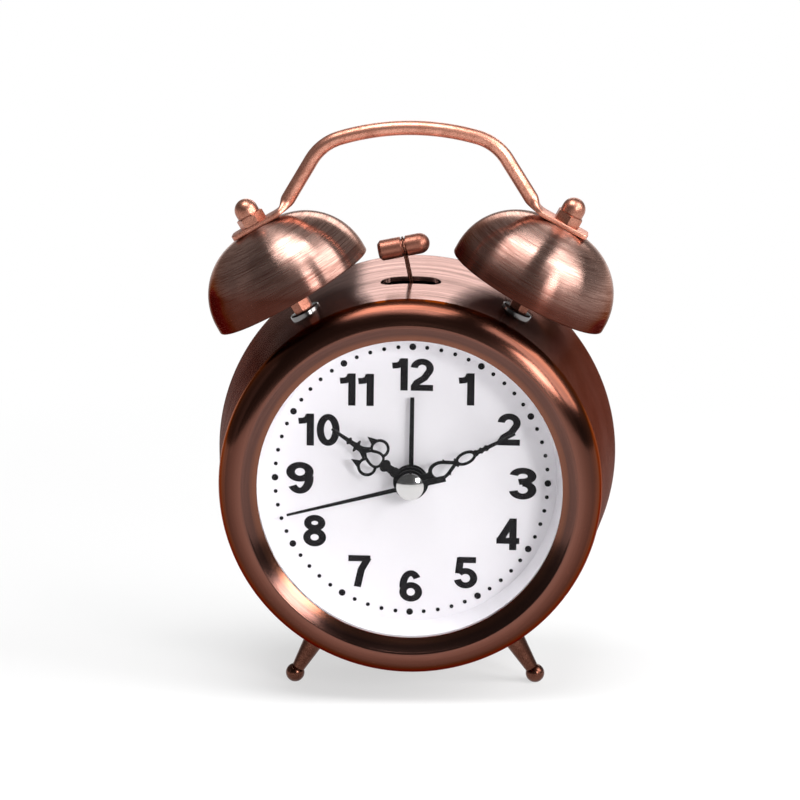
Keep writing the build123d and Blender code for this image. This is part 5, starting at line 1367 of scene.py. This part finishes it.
@dataclass
class Hammer:
    """The hammer between the bells: a turned head held by a doubled wire."""

    pivot: Point = (0.6, 40.0)
    depth: float = 9.0
    lean: float = 10.8
    reach: float = 10.75
    radius: float = 2.27
    length: float = 11.4
    chamfer: float = 0.7
    groove_radius: float = 1.75
    groove_half: float = 0.5
    groove_edge: float = 0.15
    strand_radius: float = 0.25
    hub_radius: float = 1.7
    loop_points: int = 32
    strand_resolution: int = 4

    def build(self) -> None:
        """Models and dresses head and wire."""
        self.head()
        self.wire()

    def centre(self) -> Vector:
        """Middle of the head.

        Returns:
            The place in metres.
        """
        lean = radians(self.lean)
        return clock_point(
            self.pivot[0] - self.reach * sin(lean), self.depth, self.pivot[1] + self.reach * cos(lean)
        )

    def head(self) -> Object:
        """Turns the head: chamfered on the left, domed on the right, grooved in the middle.

        Returns:
            The dressed head.
        """
        half, radius, soft = self.length / 2, self.radius, self.groove_edge
        outline = (
            Outline()
            .line((0, -half), (radius - self.chamfer, -half))
            .run((radius, self.chamfer - half), 3)
            .line((radius, -self.groove_half - soft), (radius - soft, -self.groove_half))
            .line((self.groove_radius, -self.groove_half), (self.groove_radius, self.groove_half))
            .line((radius - soft, self.groove_half), (radius, self.groove_half + soft))
            .arc((0, half - radius), radius, 0, 90, 14)
        )
        head = turned("hammer_bolt", outline, SMALL_FACES)
        placed(head, spoke_place(90 - self.lean, self.centre()))
        smoothed(head)
        return dressed(head, HAMMER, "trim_copper", "hammer", "hammer_head")

    def wire(self) -> Object:
        """Bends a thin wire up from the pivot, once round the head and down again.

        Returns:
            The dressed wire.
        """
        lean, thin = radians(self.lean), self.strand_radius
        up, across = Vector((-sin(lean), 0, cos(lean))), Vector((cos(lean), 0, sin(lean)))
        ring = self.groove_radius + thin
        foot = clock_point(self.pivot[0], self.depth, self.pivot[1]) + up * self.hub_radius * MM
        route = [foot - across * thin * MM]
        for i in range(self.loop_points + 1):
            turn = 2 * pi * i / self.loop_points
            shift = thin * (2 * i / self.loop_points - 1)
            radial = -up * cos(turn) + Vector((0, 1, 0)) * sin(turn)
            route.append(self.centre() + (radial * ring + across * shift) * MM)
        route.append(foot + across * thin * MM)
        curve = bpy.data.curves.new("hammer_strand", "CURVE")
        curve.dimensions = "3D"
        curve.bevel_depth = thin * MM
        curve.bevel_resolution = self.strand_resolution
        curve.use_fill_caps = True
        spline = curve.splines.new("POLY")
        spline.points.add(len(route) - 1)
        for spot, place in zip(spline.points, route):
            spot.co = (*place, 1.0)
        wire = bpy.data.objects.new("hammer_strand", curve)
        bpy.context.scene.collection.objects.link(wire)
        select_only(wire)
        bpy.ops.object.convert(target="MESH")
        wire = smoothed(bpy.context.object, Smoothness.TURNED)
        return dressed(wire, FOOT, "trim_copper", "hammer", "hammer_wire")


@dataclass
class Figures:
    """Plain bold figures, as pen strokes in a box one unit high."""

    width: float = 0.60
    pen: float = 0.19
    one_width: float = 0.40
    least_cuts: int = 8
    cut_angle: float = 7.0

    def arc(self, x: float, y: float, rx: float, ry: float, start: float, end: float) -> list[Vector]:
        """An elliptic stroke.

        Args:
            x: its centre across.
            y: its centre up.
            rx: half its width.
            ry: half its height.
            start: angle of its first point in degrees.
            end: angle of its last point.

        Returns:
            The points of its middle line.
        """
        cuts = max(self.least_cuts, int(abs(end - start) / self.cut_angle))
        angles = [radians(start + (end - start) * i / cuts) for i in range(cuts + 1)]
        return [Vector((x + rx * cos(a), y + ry * sin(a))) for a in angles]

    def line(self, *spots: Point) -> list[Vector]:
        """A stroke through points."""
        return [Vector(spot) for spot in spots]

    def strokes(self, figure: str) -> list[list[Vector]]:
        """The middle lines of one figure's strokes.

        Args:
            figure: one digit.

        Returns:
            A list of points for each stroke.
        """
        half, mid = self.pen / 2, self.width / 2
        rx, top = mid - half, 1 - half
        line = self.line
        bowl = self.arc(mid, 0.31, rx, 0.31 - half, 0, 360)
        spine = self.arc(mid, 0.5, rx, 0.5 - half, 38, 188)
        shapes = {
            "0": [self.arc(mid, 0.5, rx, 0.5 - half, 0, 360)],
            "1": [line((0.31, 0), (0.31, 1)), line((0.0, 0.765), (0.15, 0.78), (0.24, 0.85), (0.28, 0.96))],
            "2": [
                self.arc(mid, 0.70, rx, 0.30 - half, 176, -30)
                + line((0.36, 0.40), (0.16, 0.25), (0.09, 0.09)),
                line((0.01, half), (0.59, half)),
            ],
            "3": [
                self.arc(0.29, 0.735, 0.20, 0.265 - half, 172, -90) + line((0.20, 0.55)),
                self.arc(0.29, 0.30, rx, 0.30 - half, 92, -172),
            ],
            "4": [
                line((0.43, 0.96), (0.09, 0.30)),
                line((0.0, 0.29), (0.6, 0.29)),
                line((0.43, 0), (0.43, 1)),
            ],
            "5": [
                line((0.10, top), (0.56, top)),
                line((0.155, 0.98), (0.105, 0.47)),
                self.arc(0.29, 0.325, rx + 0.01, 0.325 - half, 142, -168),
            ],
            "6": [bowl, spine],
            "7": [line((0.0, top), (0.58, top)), line((0.52, 0.93), (0.34, 0.55), (0.24, 0.0))],
            "8": [
                self.arc(mid, 0.745, 0.185, 0.255 - half, 0, 360),
                self.arc(mid, 0.29, rx, 0.29 - half, 0, 360),
            ],
        }
        shapes["9"] = [[Vector((self.width - p.x, 1 - p.y)) for p in stroke] for stroke in shapes["6"]]
        return shapes[figure]

    def advance(self, figure: str) -> float:
        """Width of one figure."""
        return self.one_width if figure == "1" else self.width

    def ribbon(self, stroke: list[Vector]) -> list[tuple[Vector, Vector]]:
        """Both edges of a stroke, as pairs of points.

        Args:
            stroke: the points of its middle line.

        Returns:
            A left and a right point for each point of the stroke.
        """
        edges = []
        closed = (stroke[0] - stroke[-1]).length < 1e-6
        for index, here in enumerate(stroke):
            before = stroke[index - 1] if index else (stroke[-2] if closed else here)
            after = stroke[index + 1] if index + 1 < len(stroke) else (stroke[1] if closed else here)
            way = (after - before).normalized()
            side = Vector((-way.y, way.x)) * self.pen / 2
            edges.append((here + side, here - side))
        return edges


@dataclass
class Dial:
    """Printed numerals and minute dots on the dial, and the chrome cap on the hands."""

    hour_angle: float = 30.0
    print_turn: float = 1.32
    numeral_radius: float = 24.1
    numeral_height: float = 7.2
    numeral_stretch: float = 1.17
    wide_stretch: float = 1.40
    wide_hours: tuple[int, ...] = (3, 9)
    figure_gap: float = 0.075
    ink_step: float = 0.004
    nudges: dict[int, Point] = field(default_factory=lambda: {
        1: (-0.2, -0.1), 2: (0.4, -0.1), 3: (0.5, -0.2), 4: (0.6, 0.3), 5: (0.3, 0.1), 6: (0.2, 0.0),
        7: (0.9, -0.1), 8: (-0.3, 0.1), 9: (-0.4, 0.0), 10: (0.5, -1.1), 11: (-0.1, -0.7), 12: (0.1, -0.3),
    })
    dot_radius: float = 30.0
    hour_dot: float = 0.74
    minute_dot: float = 0.44
    dot_faces: int = 20
    dot_inset: float = 0.25
    ink: float = 0.05
    cap_radius: float = 3.0
    cap_rear: float = -5.8
    cap_edge: float = 0.35
    cap_height: float = 1.2
    cap_faces: int = 72

    def build(self) -> None:
        """Models and dresses the print and the cap."""
        self.numerals()
        self.dots()
        self.cap()

    def spot(self, radius: float, hours: float) -> Vector:
        """A place on the dial's face at a radius and an hour, with the print's slight turn."""
        angle = radians(self.hour_angle * hours + self.print_turn)
        return clock_point(radius * sin(angle), -self.ink / 2, radius * cos(angle))

    def upright(self) -> Matrix:
        """Turns print drawn flat on the ground plane to stand on the dial."""
        return Matrix.Rotation(radians(self.print_turn), 4, "Y") @ Matrix.Rotation(pi / 2, 4, "X")

    def numerals(self) -> Object:
        """Draws the hours stroke by stroke and raises them to one thin mesh of ink.

        Returns:
            The dressed numerals.
        """
        figures, corners, faces = Figures(), [], []
        for hour in range(1, 13):
            text = str(hour)
            stretch = self.wide_stretch if hour in self.wide_hours else self.numeral_stretch
            total = sum(map(figures.advance, text)) + self.figure_gap * (len(text) - 1)
            pen = -total / 2
            nudge = Vector((self.nudges[hour][0], 0, self.nudges[hour][1])) * MM
            for figure in text:
                for layer, stroke in enumerate(figures.strokes(figure)):
                    edges = figures.ribbon(stroke)
                    rise = nudge - Vector((0, layer * self.ink_step * MM, 0))
                    middle = self.spot(self.numeral_radius, hour) + rise
                    base = len(corners)
                    for left, right in edges:
                        for spot in (left, right):
                            size = self.numeral_height * MM
                            flat = Vector(((pen + spot.x) * stretch * size, (spot.y - 0.5) * size, 0))
                            corners.append(middle + self.upright() @ flat)
                    faces += [
                        (base + 2 * i, base + 2 * i + 1, base + 2 * i + 3, base + 2 * i + 2)
                        for i in range(len(edges) - 1)
                    ]
                pen += figures.advance(figure) + self.figure_gap
        mesh = bpy.data.meshes.new("numerals")
        mesh.from_pydata(corners, [], faces)
        numerals = bpy.data.objects.new("numerals", mesh)
        bpy.context.scene.collection.objects.link(numerals)
        select_only(numerals)
        bpy.ops.object.mode_set(mode="EDIT")
        bpy.ops.mesh.select_all(action="SELECT")
        bpy.ops.mesh.extrude_region_move(TRANSFORM_OT_translate={"value": (0, -self.ink * MM / 2, 0)})
        closed_up()
        return dressed(numerals, INK, "hand_black", "case")

    def dots(self) -> Object:
        """Models one dot, and copies it round the dial with a larger one at each hour.

        Returns:
            The dressed dots.
        """
        clear_selection()
        bpy.ops.mesh.primitive_circle_add(vertices=self.dot_faces, radius=1.0, fill_type="NGON")
        first = named("dot_model")
        bpy.ops.object.mode_set(mode="EDIT")
        bpy.ops.mesh.select_all(action="SELECT")
        bpy.ops.mesh.inset(thickness=self.dot_inset)
        bpy.ops.mesh.select_all(action="SELECT")
        bpy.ops.mesh.extrude_region_move(TRANSFORM_OT_translate={"value": (0, 0, self.ink)})
        closed_up()
        dots = []
        for minute in range(60):
            dot = copied(first, "dot")
            size = (self.minute_dot if minute % 5 else self.hour_dot) * MM
            place = Matrix.Translation(self.spot(self.dot_radius, minute / 5)) @ self.upright()
            dots.append(placed(dot, place @ Matrix.Diagonal((size, size, MM, 1))))
        bpy.data.objects.remove(first)
        ring = joined(*dots)
        ring.name = ring.data.name = "minute_dots"
        return dressed(ring, INK, "hand_black", "case")

    def cap(self) -> Object:
        """Turns the domed chrome cap over the hands.

        Returns:
            The dressed cap.
        """
        rise = self.cap_height - self.cap_edge
        sphere = (self.cap_radius**2 + rise**2) / (2 * rise)
        start = degrees(acos(self.cap_radius / sphere))
        outline = (
            Outline()
            .line((0, self.cap_rear), (self.cap_radius, self.cap_rear))
            .run((self.cap_radius, self.cap_rear - self.cap_edge), 2)
            .arc((0, self.cap_rear - self.cap_edge + sphere - rise), sphere, -start, -90, 16)
        )
        cap = smoothed(placed(turned("hand_cap", outline, self.cap_faces), drum_place()))
        return dressed(cap, CHROME, "cap_chrome", "seconds", "centre_cap")


@dataclass
class Fittings:
    """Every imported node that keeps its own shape: hands, glass, rear fittings and the works."""

    own_finishes: dict[str, Finish] = field(default_factory=lambda: {"rear_foot": FOOT})

    def build(self) -> None:
        """Gives each node that is still shown the finish of its slot."""
        slots = {row["node"]: row["material_slot"] for row in frame["record"]["subparts"]}
        for name, node in frame["nodes"].items():
            if node.hide_render:
                continue
            node.data.materials.clear()
            finish = self.own_finishes.get(name) or SLOT_FINISHES[slots[name]]
            node.data.materials.append(material_of(finish))
            log.info("%s keeps its packed shape", name)


# Stage


@dataclass(frozen=True)
class SoftBox:
    """A rectangular lamp that faces the clock: its place and size in metres, its power in watts."""

    name: str
    place: Triple
    size: Point
    power: float

    def build(self) -> None:
        """Hangs the lamp and aims it at the dial."""
        bpy.ops.object.light_add(type="AREA", location=self.place)
        lamp = named(self.name)
        lamp.data.shape = "RECTANGLE"
        lamp.data.size, lamp.data.size_y = self.size
        lamp.data.energy = self.power
        aim = dial_centre() - Vector(self.place)
        lamp.rotation_euler = aim.to_track_quat("-Z", "Y").to_euler()


@dataclass
class Studio:
    """Plain pale floor, soft boxes and a dim room."""

    lamps: tuple[SoftBox, ...] = (
        SoftBox("key_box", (0.68, -1.00, 0.44), (0.30, 0.30), 6.9),
        SoftBox("right_box", (0.52, -0.20, 0.45), (0.42, 0.50), 4.3),
        SoftBox("top_box", (-0.08, -0.20, 0.95), (0.65, 0.45), 8.0),
        SoftBox("left_box", (-0.90, -0.30, 0.30), (0.20, 0.60), 0.12),
        SoftBox("back_card", (0.15, 1.20, 0.60), (0.90, 0.40), 3.2),
    )
    floor_size: float = 30.0
    floor_colour: Triple = (0.80, 0.80, 0.80)
    floor_drift: float = 0.99
    floor_clouds: float = 3.0
    floor_roughness: float = 0.9
    glow_near: float = 0.6
    glow_start: float = 0.08
    glow_end: float = 0.30
    room_front: float = 0.08
    room_back: float = 0.22
    room_span: Point = (-0.35, 0.55)

    def build(self) -> None:
        """Sets the floor, the room and the lamps."""
        self.floor()
        self.room()
        for lamp in self.lamps:
            lamp.build()

    def floor(self) -> None:
        """A wide pale floor, with a little glow for the eye so that it reads as a white ground."""
        clear_selection()
        bpy.ops.mesh.primitive_plane_add(size=self.floor_size)
        floor = named("studio_floor")
        recipe = Recipe("studio_floor")
        clouds = recipe.noise(recipe.coordinates, self.floor_clouds, 2.0)
        deeper = tuple(c * self.floor_drift for c in self.floor_colour)
        pale = recipe.blend(clouds, deeper, self.floor_colour)
        recipe.set(Base_Color=pale, Roughness=self.floor_roughness, Specular_IOR_Level=0.0)
        away = recipe.vector("LENGTH", recipe.coordinates, output=1)
        path = recipe.node("ShaderNodeLightPath")
        seen = recipe.math("MAXIMUM", path.outputs["Is Camera Ray"], path.outputs["Is Glossy Ray"])
        seen = recipe.math("MAXIMUM", seen, path.outputs["Is Transmission Ray"])
        white = recipe.node("ShaderNodeEmission")
        mixed = recipe.node("ShaderNodeMixShader")
        share = recipe.spread(away, self.glow_start, self.glow_end, self.glow_near, 1.0)
        recipe.feed(mixed.inputs[0], recipe.math("MULTIPLY", seen, share))
        recipe.feed(mixed.inputs[1], recipe.shader.outputs[0])
        recipe.feed(mixed.inputs[2], white.outputs[0])
        recipe.feed(recipe.tree.nodes["Material Output"].inputs["Surface"], mixed.outputs[0])
        floor.data.materials.append(recipe.material)

    def room(self) -> None:
        """A room that is bright behind the clock and dim in front of it."""
        world = bpy.context.scene.world or bpy.data.worlds.new("room")
        bpy.context.scene.world = world
        world.use_nodes = True
        tree = world.node_tree
        ground = tree.nodes["Background"]
        split = tree.nodes.new("ShaderNodeSeparateXYZ")
        ramp = tree.nodes.new("ShaderNodeMapRange")
        tree.links.new(tree.nodes.new("ShaderNodeTexCoord").outputs["Generated"], split.inputs[0])
        tree.links.new(split.outputs["Y"], ramp.inputs[0])
        for socket, value in zip(ramp.inputs[1:5], (*self.room_span, self.room_front, self.room_back)):
            socket.default_value = value
        tree.links.new(ramp.outputs[0], ground.inputs["Strength"])
        ground.inputs["Color"].default_value = (1.0, 1.0, 1.0, 1.0)


@dataclass
class Viewpoint:
    """The camera at the photograph's viewing angle, for a square image."""

    azimuth: float = 2.935
    elevation: float = 13.036
    roll: float = -0.7
    distance: float = 812.17
    focal_pixels: float = 3697.588
    image_pixels: float = 800.0
    dial_pixel: Point = (411.198, 480.266)
    sensor: float = 36.0
    clip: Point = (0.01, 50.0)

    def build(self) -> None:
        """Sets the camera so that the dial's centre falls on its pixel."""
        turn, climb, lean = radians(self.azimuth), radians(self.elevation), radians(self.roll)
        back = Vector((sin(turn) * cos(climb), -cos(turn) * cos(climb), sin(climb)))
        level = Vector((cos(turn), sin(turn), 0))
        upward = back.cross(level)
        right = level * cos(lean) + upward * sin(lean)
        upward = upward * cos(lean) - level * sin(lean)
        scale = self.distance / self.focal_pixels
        shift_x = (self.dial_pixel[0] - self.image_pixels / 2) * scale
        shift_y = (self.dial_pixel[1] - self.image_pixels / 2) * scale
        eye = dial_centre() + (back * self.distance - right * shift_x + upward * shift_y) * MM
        bpy.ops.object.camera_add(location=eye)
        camera = named("viewpoint")
        camera.rotation_euler = Matrix((right, upward, back)).transposed().to_euler()
        camera.data.sensor_width = self.sensor
        camera.data.lens = self.focal_pixels * self.sensor / self.image_pixels
        camera.data.clip_start, camera.data.clip_end = self.clip
        bpy.context.scene.camera = camera


def main() -> None:
    """Builds the clock, the stage and the camera."""
    logging.basicConfig(level=logging.INFO, format="%(name)s: %(message)s")
    bells = Bells()
    pieces = Case(), bells, Handle(bells), Feet(), Hammer(), Dial(), Fittings()
    for assembly in (*pieces, Studio(), Viewpoint()):
        assembly.build()
    clear_selection()
    bpy.context.scene.view_settings.view_transform = "Standard"


if __name__ == "__main__":
    main()
